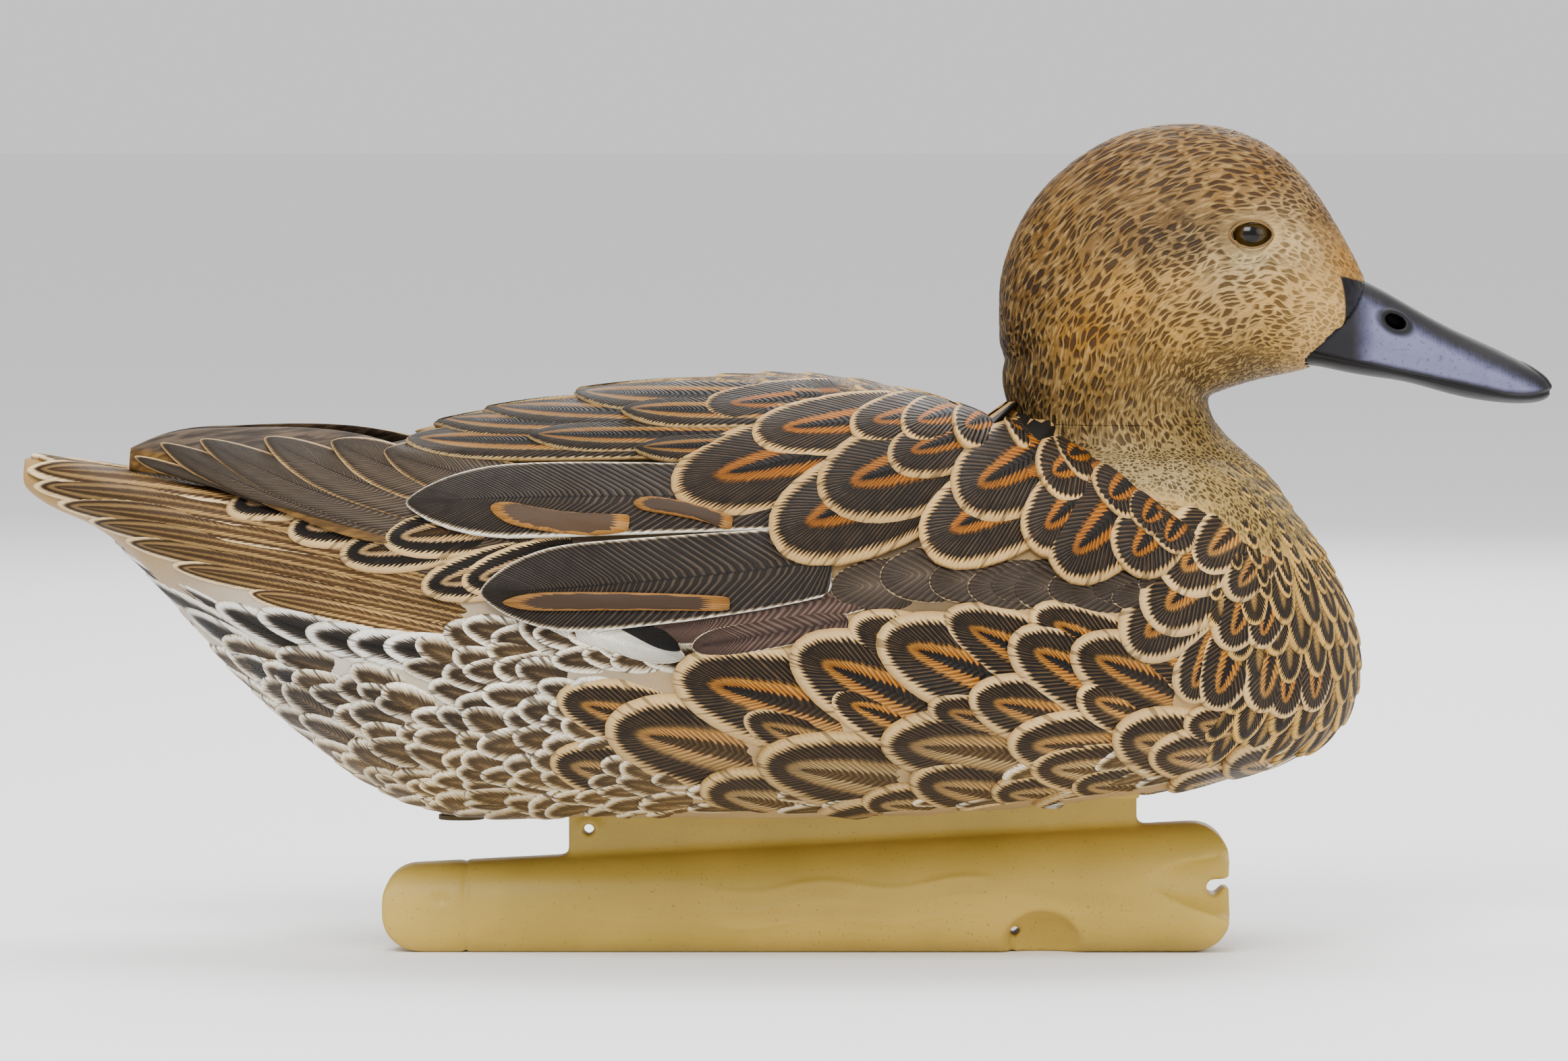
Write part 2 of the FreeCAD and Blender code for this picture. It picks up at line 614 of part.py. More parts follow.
def keel_form(sheet, inset=0.0):
    """The keel's tube, with rounded ends in side view."""
    tube = Part.makeLoft([keel_section(sheet, share, inset) for share in (0, 1)], True)
    rear, front = sheet.keel_rear + inset, sheet.keel_front - inset
    corners = [
        Vector(rear, 0, inset),
        Vector(front, 0, inset),
        Vector(front, 0, sheet.keel_front_top - inset),
        Vector(rear, 0, sheet.keel_rear_top - inset),
    ]
    face = Part.Face(Part.makePolygon([*corners, corners[0]]))
    face.translate(Vector(0, -sheet.keel_front_width, 0))
    block = face.extrude(Vector(0, 2 * sheet.keel_front_width, 0))
    upright = [e for e in block.Edges if abs(e.tangentAt(e.FirstParameter).y) > 0.9]
    block = block.makeFillet(sheet.keel_corner - inset, upright)
    return tube.common(block)


def keel_scoops(sheet, growth=0.0):
    """The hollows that lead a cord into the two slots: a flute at the nose, a scoop at the foot."""
    scoops = []
    for side in (-1, 1):
        start = Vector(sheet.flute_start_forward, side * sheet.flute_start_side, sheet.flute_start_height)
        end = Vector(sheet.flute_end_forward, side * sheet.flute_end_side, sheet.nose_slot_height - 1)
        small, large = sheet.flute_start_radius + growth, sheet.flute_end_radius + growth
        flute = Part.makeCone(small, large, (end - start).Length, start, end - start)
        centre = Vector(sheet.foot_slot_forward + sheet.scoop_ahead, side * sheet.scoop_side, 0)
        scoops += [flute, Part.makeSphere(sheet.scoop_radius + growth, centre)]
    return scoops


def keel_hollow(sheet, inset, growth):
    """The space inside the keel, kept clear of the slots and scoops."""
    hollow = keel_form(sheet, inset)
    for scoop in keel_scoops(sheet, growth):
        hollow = hollow.cut(scoop)
    wall = sheet.foot_wall
    nose = Part.makeBox(40, 60, 60, Vector(sheet.keel_front - sheet.nose_solid, -30, 0))
    foot = Part.makeBox(
        2 * wall + sheet.foot_slot_gap,
        60,
        sheet.foot_slot_depth + wall,
        Vector(sheet.foot_slot_forward - wall - sheet.foot_slot_gap / 2, -30, 0),
    )
    return hollow.cut(nose).cut(foot)


def cord_slots(sheet):
    """What is cut out for the two cord slots, and the anchor hole."""
    width, across = 60, Vector(0, 1, 0)
    slot_end = sheet.keel_front - sheet.nose_slot_depth
    nose_at = Vector(slot_end, -width / 2, sheet.nose_slot_height - sheet.nose_slot_gap / 2)
    nose = Part.makeBox(20, width, sheet.nose_slot_gap, nose_at)
    drop = sheet.nose_pocket_radius - sheet.nose_slot_gap / 2
    pocket_x = slot_end + sheet.nose_pocket_radius / 2
    pocket_at = Vector(pocket_x, -width / 2, sheet.nose_slot_height - drop)
    pocket = Part.makeCylinder(sheet.nose_pocket_radius, width, pocket_at, across)
    foot_at = Vector(sheet.foot_slot_forward - sheet.foot_slot_gap / 2, -width / 2, 0)
    foot = Part.makeBox(sheet.foot_slot_gap, width, sheet.foot_slot_depth, foot_at)
    throat_x = sheet.foot_slot_forward + sheet.throat_ahead
    throat_at = Vector(throat_x, -width / 2, sheet.foot_slot_depth - sheet.throat_drop)
    throat = Part.makeCylinder(sheet.throat_radius, width, throat_at, across)
    anchor_at = Vector(sheet.anchor_hole_forward, -width / 2, sheet.anchor_hole_height)
    anchor = Part.makeCylinder(sheet.anchor_hole_radius, width, anchor_at, across)
    return [nose, pocket, foot, throat, anchor]


def keel_top_at(sheet, x):
    """The height of the keel's top line at a place along X."""
    share = (x - sheet.keel_rear) / (sheet.keel_front - sheet.keel_rear)
    return sheet.keel_rear_top + share * (sheet.keel_front_top - sheet.keel_rear_top)


def make_keel_shell(doc, sheet):
    """The hollow keel with its web, flange, cord slots and anchor hole, open at its rear end."""
    outside = keel_form(sheet)
    ahead = Part.makeBox(400, 100, 100, Vector(sheet.plug_joint, -50, -10))
    outside = outside.common(ahead)
    half = sheet.web_thickness / 2
    flange_low = sheet.flange_top - sheet.flange_thickness
    rear_low, front_low = (keel_top_at(sheet, x) - 4 for x in (sheet.web_rear, sheet.web_front))
    corners = [
        Vector(sheet.web_rear, -half, rear_low),
        Vector(sheet.web_front, -half, front_low),
        Vector(sheet.web_front, -half, sheet.flange_top),
        Vector(sheet.web_rear, -half, sheet.flange_top),
    ]
    web = Part.Face(Part.makePolygon([*corners, corners[0]])).extrude(Vector(0, 2 * half, 0))
    flange = Part.makeBox(
        sheet.web_front - sheet.web_rear, sheet.flange_width, sheet.flange_thickness,
        Vector(sheet.web_rear, -sheet.flange_width / 2, flange_low),
    )
    boss_at = Vector(sheet.anchor_hole_forward, -sheet.anchor_boss_length / 2, sheet.anchor_hole_height)
    boss = Part.makeCylinder(sheet.anchor_boss_radius, sheet.anchor_boss_length, boss_at, Vector(0, 1, 0))
    shell = outside.fuse(web).fuse(flange).fuse(boss)
    shell = shell.cut(keel_hollow(sheet, sheet.keel_wall, sheet.keel_wall))
    for tool in [*keel_scoops(sheet), *cord_slots(sheet)]:
        shell = shell.cut(tool)
    for place in screw_places(sheet):
        hole_radius = sheet.screw_shank_radius + sheet.fit_gap
        shell = shell.cut(Part.makeCylinder(hole_radius, 20, place - Vector(0, 0, 10)))
    return add_feature(doc, "keel_shell", shell.removeSplitter())


def make_keel_end_plug(doc, sheet):
    """The plug that closes the keel's rear end, with a spigot inside the keel."""
    gap = sheet.fit_gap
    behind = Part.makeBox(100, 100, 100, Vector(sheet.plug_joint - 100, -50, -10))
    cap = keel_form(sheet).common(behind)
    length = sheet.plug_spigot_length
    inside = Part.makeBox(length + 3, 100, 100, Vector(sheet.plug_joint - 3, -50, -10))
    spigot = keel_form(sheet, sheet.keel_wall + gap / 2).common(inside)
    core = Part.makeBox(length + 12, 100, 100, Vector(sheet.plug_joint - 8, -50, -10))
    core = keel_form(sheet, 2 * sheet.keel_wall + gap / 2).common(core)
    return add_feature(doc, "keel_end_plug", cap.fuse(spigot).cut(core).removeSplitter())


def make_ballast(doc, sheet):
    """Two cast slugs: the heavy one sits forward, which levels the decoy."""
    clear = sheet.keel_wall + sheet.ballast_gap
    fill = keel_hollow(sheet, clear, clear)
    source = doc.addObject("Part::Feature", "ballast_space")
    source.Shape = fill
    spigot_end = f"{SHEET_NAME}.plug_joint + {SHEET_NAME}.plug_spigot_length + 1"
    spans = {
        "front_ballast": (f"{SHEET_NAME}.ballast_split", f"{SHEET_NAME}.front_slug_length"),
        "rear_ballast": (spigot_end, f"{SHEET_NAME}.rear_slug_front - ({spigot_end})"),
    }
    made = []
    for name, (start, length) in spans.items():
        window = doc.addObject("Part::Box", name + "_window")
        window.setExpression("Placement.Base.x", start)
        window.Placement.Base.y = -50
        window.setExpression("Length", length)
        window.Width, window.Height = 100, 100
        slug = doc.addObject("Part::Common", name)
        slug.Label = name
        slug.Base, slug.Tool = source, window
        made.append(slug)
    doc.recompute()
    return made


def check(doc, parts):
    """Stops on any object that failed to build, and on any shape that is empty or not valid."""
    for item in doc.Objects:
        if {"Invalid", "Error"} & set(item.State):
            raise RuntimeError(f"{item.Label} failed to build: {item.State}")
    for part in parts:
        shape = part.Shape
        if shape.isNull() or not shape.isValid() or not shape.Solids:
            raise RuntimeError(f"{part.Label} has no valid solid")
        print(f"{part.Label:16s} {len(shape.Solids)} solids  {shape.Volume / 1000:8.2f} cm3")


def main():
    doc = FreeCAD.newDocument("duck_decoy")
    sheet = fill_sheet(doc)
    parts = [
        make_body_shell(doc, sheet),
        make_head_shell(doc, sheet),
        make_bill(doc, sheet),
        make_eye(doc, sheet, "right_eye", -1),
        make_eye(doc, sheet, "left_eye", 1),
        *make_wing_tips(doc, sheet),
        make_keel_shell(doc, sheet),
        make_keel_end_plug(doc, sheet),
        make_drain_plug(doc, sheet),
        *make_ballast(doc, sheet),
        *make_fasteners(doc, sheet),
    ]
    doc.recompute()
    check(doc, parts)
    os.makedirs(OUT_FOLDER, exist_ok=True)
    for part in parts:
        part.Shape.exportStep(os.path.join(OUT_FOLDER, part.Label + ".step"))


main()
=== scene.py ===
"""A floating hen duck decoy: carved skins, feather tracts, head, bill, eyes and weighted keel."""

import json
import math
import random

import bmesh
import bpy
from mathutils import Matrix, Vector, noise
from mathutils.bvhtree import BVHTree

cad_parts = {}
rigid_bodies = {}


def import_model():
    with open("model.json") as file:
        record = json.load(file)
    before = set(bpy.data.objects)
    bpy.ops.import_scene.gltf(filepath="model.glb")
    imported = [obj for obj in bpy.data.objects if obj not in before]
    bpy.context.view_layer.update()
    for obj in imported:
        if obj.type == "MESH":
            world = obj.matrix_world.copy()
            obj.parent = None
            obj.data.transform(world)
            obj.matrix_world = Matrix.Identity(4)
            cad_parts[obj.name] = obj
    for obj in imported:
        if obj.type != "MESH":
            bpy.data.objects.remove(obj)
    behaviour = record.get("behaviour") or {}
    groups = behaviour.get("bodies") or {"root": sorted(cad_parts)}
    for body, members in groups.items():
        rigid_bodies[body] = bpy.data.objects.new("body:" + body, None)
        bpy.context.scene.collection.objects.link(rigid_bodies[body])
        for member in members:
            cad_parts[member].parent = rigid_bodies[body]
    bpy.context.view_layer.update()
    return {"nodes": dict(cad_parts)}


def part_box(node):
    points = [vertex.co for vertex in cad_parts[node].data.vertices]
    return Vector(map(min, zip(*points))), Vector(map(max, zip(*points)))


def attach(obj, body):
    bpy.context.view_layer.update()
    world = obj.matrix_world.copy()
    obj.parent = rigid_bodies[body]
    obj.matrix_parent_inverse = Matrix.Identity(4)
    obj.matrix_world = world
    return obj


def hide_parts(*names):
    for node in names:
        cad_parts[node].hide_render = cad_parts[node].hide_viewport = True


for leftover in list(bpy.data.objects):
    bpy.data.objects.remove(leftover)
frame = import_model()

MM = 0.001
CHROMA = 1.22
RIGHT, LEFT = -1, 1
SIDE_NAMES = {RIGHT: "right", LEFT: "left"}


def clip(value):
    """A value kept between 0 and 1."""
    return min(1.0, max(0.0, value))


def bell(value, width):
    """1 where the value is 0, falling to 0 a few widths away."""
    return math.exp(-((value / width) ** 2))


def shift(moves):
    """Moves vertices: moves are (vertex, vector)."""
    for vertex, move in moves:
        vertex.co += move


def link(thing):
    """Puts an object in the scene."""
    bpy.context.scene.collection.objects.link(thing)


# ---------------------------------------------------------------- node trees


def paint(red, green, blue):
    """A paint colour given as screen values from 0 to 255, with its chroma raised a little."""
    linear = []
    for value in (red, green, blue):
        share = value / 255
        linear.append(share / 12.92 if share <= 0.04045 else ((share + 0.055) / 1.055) ** 2.4)
    grey = 0.2126 * linear[0] + 0.7152 * linear[1] + 0.0722 * linear[2]
    return (*[max(0.0, grey + (channel - grey) * CHROMA) for channel in linear], 1.0)


class Nodes:
    """Short calls that add nodes to one tree."""

    def __init__(self, tree):
        """Works on this tree."""
        self.tree = tree

    def add(self, kind, inputs=None, **settings):
        """A new node of a kind, with its inputs fed and its settings set."""
        node = self.tree.nodes.new("ShaderNode" + kind)
        for key, value in settings.items():
            setattr(node, key, value)
        for key, value in (inputs or {}).items():
            self.feed(node.inputs[key], value)
        return node

    def feed(self, socket, value):
        """Links a socket to an input, or sets the input's value."""
        if isinstance(value, bpy.types.NodeSocket):
            self.tree.links.new(value, socket)
        else:
            socket.default_value = value

    def math(self, operation, *values, clamp=False):
        """A sum of one kind on one to three values."""
        node = self.add("Math", dict(enumerate(values)), operation=operation, use_clamp=clamp)
        return node.outputs[0]

    def plus(self, first, second, clamp=False):
        """Two values added."""
        return self.math("ADD", first, second, clamp=clamp)

    def minus(self, first, second):
        """The second value taken from the first."""
        return self.math("SUBTRACT", first, second)

    def times(self, first, second, clamp=False):
        """Two values multiplied."""
        return self.math("MULTIPLY", first, second, clamp=clamp)

    def over(self, first, second):
        """The first value divided by the second."""
        return self.math("DIVIDE", first, second)

    def blend(self, share, first, second):
        """A value between two others."""
        return self.add("Mix", {0: share, 2: first, 3: second}, data_type="FLOAT").outputs[0]

    def mix(self, share, first, second, blend="MIX"):
        """A colour between two others, or blended another way."""
        node = self.add("Mix", {0: share, 6: first, 7: second}, data_type="RGBA", blend_type=blend)
        return node.outputs[2]

    def span(self, value, low, high, start=0.0, end=1.0):
        """The value as it goes from low to high, eased into start to end."""
        inputs = {0: value, 1: low, 2: high, 3: start, 4: end}
        return self.add("MapRange", inputs, interpolation_type="SMOOTHSTEP").outputs[0]

    def ramp(self, value, stops):
        """Colours along a value: stops are (place, colour), in order."""
        node = self.add("ValToRGB", {0: value})
        elements = node.color_ramp.elements
        while len(elements) < len(stops):
            elements.new(1.0)
        for element, (place, colour) in zip(elements, stops):
            element.position = place
            element.color = colour
        return node.outputs[0]

    def noise(self, vector, scale, detail=2.0, roughness=0.5):
        """Smooth noise at a place."""
        inputs = {"Vector": vector, "Scale": scale, "Detail": detail, "Roughness": roughness}
        return self.add("TexNoise", inputs).outputs[0]

    def parts(self, vector):
        """A vector's three parts."""
        return self.add("SeparateXYZ", {0: vector}).outputs

    def join(self, x=0.0, y=0.0, z=0.0):
        """A vector from three parts."""
        return self.add("CombineXYZ", {0: x, 1: y, 2: z}).outputs[0]

    def attribute(self, name):
        """The outputs of a mesh attribute."""
        return self.add("Attribute", attribute_name=name).outputs

    def place(self):
        """The point on the object, in metres."""
        return self.add("TexCoord").outputs["Object"]

    def use(self, group, **inputs):
        """The outputs of a node group, with its inputs fed."""
        node = self.tree.nodes.new("ShaderNodeGroup")
        node.node_tree = group
        for key, value in inputs.items():
            self.feed(node.inputs[key], value)
        return node.outputs

    def bump(self, height, strength, distance):
        """A normal bent by a height."""
        inputs = {"Height": height, "Strength": strength, "Distance": distance}
        return self.add("Bump", inputs).outputs[0]

    def hand_paint(self, surface, colour, drift, grain):
        """Feeds a shader's colour and roughness with airbrushed paint, and returns the paint."""
        finish = self.use(HAND_PAINT, Color=colour, Drift=drift, Grain=grain)
        self.feed(surface["Base Color"], finish["Color"])
        self.feed(surface["Roughness"], finish["Roughness"])
        return finish


def start_group(name, inputs, outputs):
    """A new shader node group, with its input and output nodes."""
    tree = bpy.data.node_groups.new(name, "ShaderNodeTree")
    for label, kind, value in inputs:
        socket = tree.interface.new_socket(name=label, in_out="INPUT", socket_type="NodeSocket" + kind)
        socket.default_value = value
    for label, kind in outputs:
        tree.interface.new_socket(name=label, in_out="OUTPUT", socket_type="NodeSocket" + kind)
    entry = tree.nodes.new("NodeGroupInput")
    exit_node = tree.nodes.new("NodeGroupOutput")
    return Nodes(tree), entry.outputs, exit_node.inputs


def make_feather_marks():
    """What every feather's paint shares: its inset from the edge, its combed barbs and its splits.

    The UV map runs along the feather's edge from the tip, in U, and from the shaft to the edge, in V.
    The plume attribute holds two random numbers and the length of the edge in metres.
    """
    n, given, out = start_group(
        "feather_marks",
        [
            ("Pitch", "Float", 0.9),
            ("Comb", "Float", 0.05),
            ("Ragged", "Float", 0.1),
            ("Splits", "Float", 0.5),
        ],
        [("Inset", "Float"), ("Barb", "Float"), ("Split", "Float"), ("Luck", "Float"), ("Chance", "Float")],
    )
    along, inset, _ = n.parts(n.add("UVMap", uv_map="feather").outputs[0])
    plume = n.add("SeparateColor", {0: n.attribute("plume")["Color"]}).outputs
    edge_mm = n.times(n.times(along, plume[2]), 500.0)
    offset = n.times(plume[0], 90.0)
    wander = n.noise(n.join(n.plus(edge_mm, offset), inset, offset), 0.35, 2.0)
    phase = n.plus(edge_mm, n.times(wander, 1.2))
    turns = n.over(phase, given["Pitch"])
    wave = n.math("SINE", n.times(turns, 2 * math.pi))
    barb = n.math("MULTIPLY_ADD", wave, 0.5, 0.5)
    fine = n.noise(n.join(phase, n.times(inset, 2.0), offset), 0.9, 3.0, 0.6)
    ragged = n.times(n.minus(fine, 0.5), given["Ragged"])
    combed = n.times(n.minus(barb, 0.5), given["Comb"])
    n.feed(out["Inset"], n.plus(inset, n.plus(ragged, combed)))
    n.feed(out["Barb"], barb)
    crack_place = n.join(n.plus(phase, offset), n.times(inset, 0.7), offset)
    crack = n.noise(crack_place, 0.75, 0.0)
    deep = n.span(crack, 0.66, 0.72)
    outer = n.span(inset, 0.45, 0.75)
    n.feed(out["Split"], n.times(n.times(deep, outer), given["Splits"], clamp=True))
    n.feed(out["Luck"], plume[0])
    n.feed(out["Chance"], plume[1])
    return n.tree


def make_hand_paint():
    """Airbrushed paint: a colour with slow drifts, a dry-brushed grain and fine specks."""
    n, given, out = start_group(
        "hand_paint",
        [("Color", "Color", (0.5, 0.5, 0.5, 1.0)), ("Drift", "Float", 0.25), ("Grain", "Float", 0.2)],
        [("Color", "Color"), ("Roughness", "Float"), ("Height", "Float")],
    )
    place = n.place()
    slow = n.noise(place, 45.0, 3.0)
    grain = n.noise(place, 1900.0, 2.0, 0.7)
    drift = n.times(n.minus(slow, 0.5), given["Drift"])
    speck = n.times(n.minus(grain, 0.5), given["Grain"])
    level = n.plus(1.0, n.times(n.plus(drift, speck), 2.0))
    bright = n.add("CombineColor", {0: level, 1: level, 2: level}).outputs[0]
    n.feed(out["Color"], n.mix(1.0, given["Color"], bright, "MULTIPLY"))
    n.feed(out["Roughness"], n.span(slow, 0.3, 0.7, 0.5, 0.66))
    n.feed(out["Height"], grain)
    return n.tree


FEATHER_MARKS = make_feather_marks()
HAND_PAINT = make_hand_paint()


def start_material(name, roughness=0.6, specular=0.18):
    """A new material, matt by default, with its nodes and its shader's inputs."""
    material = bpy.data.materials.new(name)
    material.use_nodes = True
    nodes = Nodes(material.node_tree)
    shader = material.node_tree.nodes["Principled BSDF"]
    shader.inputs["Roughness"].default_value = roughness
    shader.inputs["Specular IOR Level"].default_value = specular
    return material, nodes, shader.inputs


BUFF = paint(168, 138, 98)
PALE_BUFF = paint(190, 164, 124)
DARK = paint(31, 23, 16)
BLACK_BROWN = paint(15, 11, 7)
ORANGE = paint(152, 98, 50)
CHALK = paint(226, 222, 210)


def feather_paint(name, bands, pitch=0.9, comb=0.06, ragged=0.12, splits=0.7, groove_shade=0.6,
                  faded=None, fade_from=0.1, fade_to=0.045, tone=None, height=0.0005,
                  rim=0.86, dark_from=0.42):
    """Feather paint: bands of colour from shaft to edge, combed with barbs.

    Faded bands, if given, take over lower on the bird, between the two heights.
    Tone is the colour of the crests of the barbs, from the inset dark_from to the rim: partly dry-brushed
    paint and partly a painted highlight on the crests.
    Groove_shade is how far the valleys between the barbs darken: partly the barbs' dark paint, partly
    painted shade in the grooves.
    """
    material, n, surface = start_material(name)
    marks = n.use(FEATHER_MARKS, Pitch=pitch, Comb=comb, Ragged=ragged, Splits=splits)
    colour = n.ramp(marks["Inset"], bands)
    if faded:
        low = n.ramp(marks["Inset"], faded)
        drop = n.span(n.parts(n.place())[2], fade_from, fade_to)
        luck = n.times(n.minus(marks["Luck"], 0.5), 0.5)
        colour = n.mix(n.plus(drop, luck, clamp=True), colour, low)
    darkness = n.minus(1.0, n.span(marks["Inset"], rim - 0.03, rim + 0.03))
    # Valleys between the barbs darkened: partly the barbs' dark paint, partly painted shade in the grooves.
    valley = n.span(marks["Barb"], 0.75, 0.2)
    shade = n.times(n.times(valley, n.math("MULTIPLY_ADD", darkness, 0.85, 0.15)), groove_shade)
    colour = n.mix(shade, colour, n.mix(1.0, colour, paint(84, 72, 64), "MULTIPLY"))
    if tone:
        # Crests of the barbs lightened to the tone: partly dry-brushed paint, partly a painted highlight.
        crest = n.span(marks["Barb"], 0.55, 0.95, 0.0, 0.9)
        brushed = n.span(n.noise(n.place(), 210.0, 2.0), 0.25, 0.6, 0.25, 1.0)
        dull = n.times(n.span(marks["Inset"], dark_from, dark_from + 0.03), darkness)
        colour = n.mix(n.times(n.times(crest, brushed), dull), colour, tone)
    colour = n.mix(n.times(marks["Split"], 0.85), colour, paint(52, 38, 26))
    own = n.math("MULTIPLY_ADD", marks["Chance"], 0.34, 0.83)
    colour = n.mix(1.0, colour, n.add("CombineColor", {0: own, 1: own, 2: own}).outputs[0], "MULTIPLY")
    finish = n.hand_paint(surface, colour, 0.2, 0.16)
    relief = n.minus(n.times(marks["Barb"], darkness), marks["Split"])
    relief = n.plus(relief, n.span(marks["Inset"], rim - 0.04, rim + 0.03, 0.0, 1.2))
    relief = n.plus(relief, n.times(finish["Height"], 0.15))
    n.feed(surface["Normal"], n.bump(relief, 0.9, height))
    return material


# ---------------------------------------------------------------- the carved skins

NECK_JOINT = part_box("head_shell")[0].z + 12 * MM
SKIN_NODES = ("body_shell", "head_shell", "drain_plug", "right_eye", "left_eye")
BILL_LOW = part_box("bill")[0]


def remeshed(nodes, voxel, plug=None, smooth=2):
    """One closed outer skin round some CAD pieces, as a bmesh. A plug closes what would leak."""
    bm = bmesh.new()
    for node in nodes:
        bm.from_mesh(frame["nodes"][node].data)
    bmesh.ops.remove_doubles(bm, verts=bm.verts, dist=1e-6)
    if plug is not None:
        bmesh.ops.create_cube(bm, size=1, matrix=plug)
    mesh = bpy.data.meshes.new("raw_skin")
    bm.to_mesh(mesh)
    bm.free()
    raw = bpy.data.objects.new("raw_skin", mesh)
    link(raw)
    modifier = raw.modifiers.new("remesh", "REMESH")
    modifier.mode = "VOXEL"
    modifier.voxel_size = voxel
    graph = bpy.context.evaluated_depsgraph_get()
    dense = bpy.data.meshes.new_from_object(raw.evaluated_get(graph), depsgraph=graph)
    skin = bmesh.new()
    skin.from_mesh(dense)
    bpy.data.objects.remove(raw)
    bpy.data.meshes.remove(mesh)
    bpy.data.meshes.remove(dense)
    for _ in range(smooth):
        bmesh.ops.smooth_vert(
            skin, verts=skin.verts, factor=0.5, use_axis_x=True, use_axis_y=True, use_axis_z=True
        )
    return skin


def bird_skin(voxel):
    """The outer skin of body and head in one. The bill's open socket is plugged at its inner end."""
    tenon = Vector((BILL_LOW.x + 0.5 * MM, 0, 178 * MM))
    plug = Matrix.Translation(tenon) @ Matrix.Diagonal((5 * MM, 21 * MM, 19 * MM, 1))
    return remeshed(SKIN_NODES, voxel, plug)


def keep_side(bm, height, above):
    """Cuts the skin level at a height, keeps one part and caps it."""
    geometry = bm.verts[:] + bm.edges[:] + bm.faces[:]
    bmesh.ops.bisect_plane(
        bm, geom=geometry, plane_co=(0, 0, height), plane_no=(0, 0, 1),
        clear_inner=above, clear_outer=not above,
    )
    rim = [edge for edge in bm.edges if edge.is_boundary]
    bmesh.ops.edgeloop_fill(bm, edges=rim)


def finish_piece(bm, name, material, smooth=True, replaces=(), level=0):
    """Turns a bmesh into a piece that rides with the decoy."""
    mesh = bpy.data.meshes.new(name)
    bm.to_mesh(mesh)
    bm.free()
    mesh.polygons.foreach_set("use_smooth", [smooth] * len(mesh.polygons))
    piece = bpy.data.objects.new(name, mesh)
    link(piece)
    mesh.materials.append(material)
    if level:
        modifier = piece.modifiers.new("subdivide", "SUBSURF")
        modifier.levels = level
        modifier.render_levels = level
    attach(piece, "root")
    if replaces:
        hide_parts(*replaces)
    return piece


def blend_tones(x, z, tones):
    """A colour between listed tones, each at its own place in side view, nearest weighing most."""
    total, mixed = 0.0, [0.0, 0.0, 0.0]
    for tone_x, tone_z, colour in tones:
        weight = 1.0 / ((x - tone_x) ** 2 + (z - tone_z) ** 2 + 16.0) ** 1.5
        total += weight
        for channel in range(3):
            mixed[channel] += weight * colour[channel]
    return [value / total for value in mixed]


# Where the head's feathering turns: lines run round this point, under the chin.
SWIRL_X, SWIRL_Z, SWIRL_REACH = 136.0, 150.0, 60.0
HEAD_TONES = [
    (x, z, paint(*colour))
    for x, z, colour in (
        (112, 231, (112, 82, 46)), (135, 222, (106, 74, 38)), (152, 208, (106, 76, 41)),
        (160, 196, (150, 106, 55)), (90, 224, (105, 74, 39)), (75, 208, (99, 70, 34)),
        (66, 190, (85, 59, 28)), (63, 172, (66, 46, 21)), (66, 156, (61, 44, 19)),
        (100, 212, (119, 89, 53)), (122, 214, (121, 91, 56)), (106, 206, (90, 65, 38)),
        (92, 203, (99, 73, 41)), (118, 204, (106, 85, 58)), (130, 197, (202, 180, 142)),
        (142, 201, (203, 174, 132)), (120, 196, (191, 166, 125)), (148, 188, (197, 163, 114)),
        (154, 180, (203, 169, 119)), (135, 186, (184, 150, 100)), (110, 190, (182, 146, 96)),
        (95, 186, (162, 123, 71)), (85, 175, (133, 95, 46)), (110, 176, (175, 138, 85)),
        (135, 174, (169, 135, 83)), (150, 173, (196, 161, 112)), (130, 166, (128, 104, 64)),
        (115, 162, (124, 99, 59)), (100, 165, (121, 92, 50)), (85, 158, (102, 76, 37)),
        (118, 150, (121, 98, 58)), (100, 150, (127, 102, 62)), (78, 148, (90, 70, 40)),
        (95, 140, (173, 153, 115)), (108, 135, (166, 148, 113)), (120, 136, (158, 135, 89)),
        (135, 130, (152, 129, 81)),
        (114, 201, (70, 52, 34)), (104, 202, (78, 58, 36)), (123, 201, (88, 68, 46)),
    )
]


def flow_place(x, y, z):
    """The place of a point in the head's feathering: along the flow, across it and to the side, in mm."""
    if z >= SWIRL_Z:
        across = math.hypot(x - SWIRL_X, z - SWIRL_Z)
        along = math.atan2(z - SWIRL_Z, x - SWIRL_X) * SWIRL_REACH
    else:
        across = abs(x - SWIRL_X)
        along = (math.pi if x < SWIRL_X else 0.0) * SWIRL_REACH + (SWIRL_Z - z)
    return along, across, y


def streak_amount(x, z):
    """How far the feathering is fine hair instead of pits: full at the chin and throat."""
    chin = 1.0 - min(1.0, math.hypot((x - 122) / 30.0, (z - 163) / 11.0))
    return clip(chin * 2.2)


def feather_pits(x, y, z):
    """How deep the carved pit is at a point of the head or neck, from 0 to 1."""
    along, across, out = flow_place(x, y, z)
    drift = noise.noise(Vector((along * 0.05, across * 0.05, out * 0.05)))
    across += 5.0 * drift
    cell = Vector((along / 4.4, across / 1.7, out / 1.7))
    nearest = noise.voronoi(cell, distance_metric="DISTANCE", exponent=2.5)[0][0]
    pit = clip((0.62 - nearest) / 0.3)
    pit = pit * pit * (3 - 2 * pit)
    hair = 0.5 + 0.5 * noise.noise(Vector((along / 9.0, across / 0.9, out / 1.6)))
    share = streak_amount(x, z)
    return pit * (1 - share) + hair * 0.75 * share


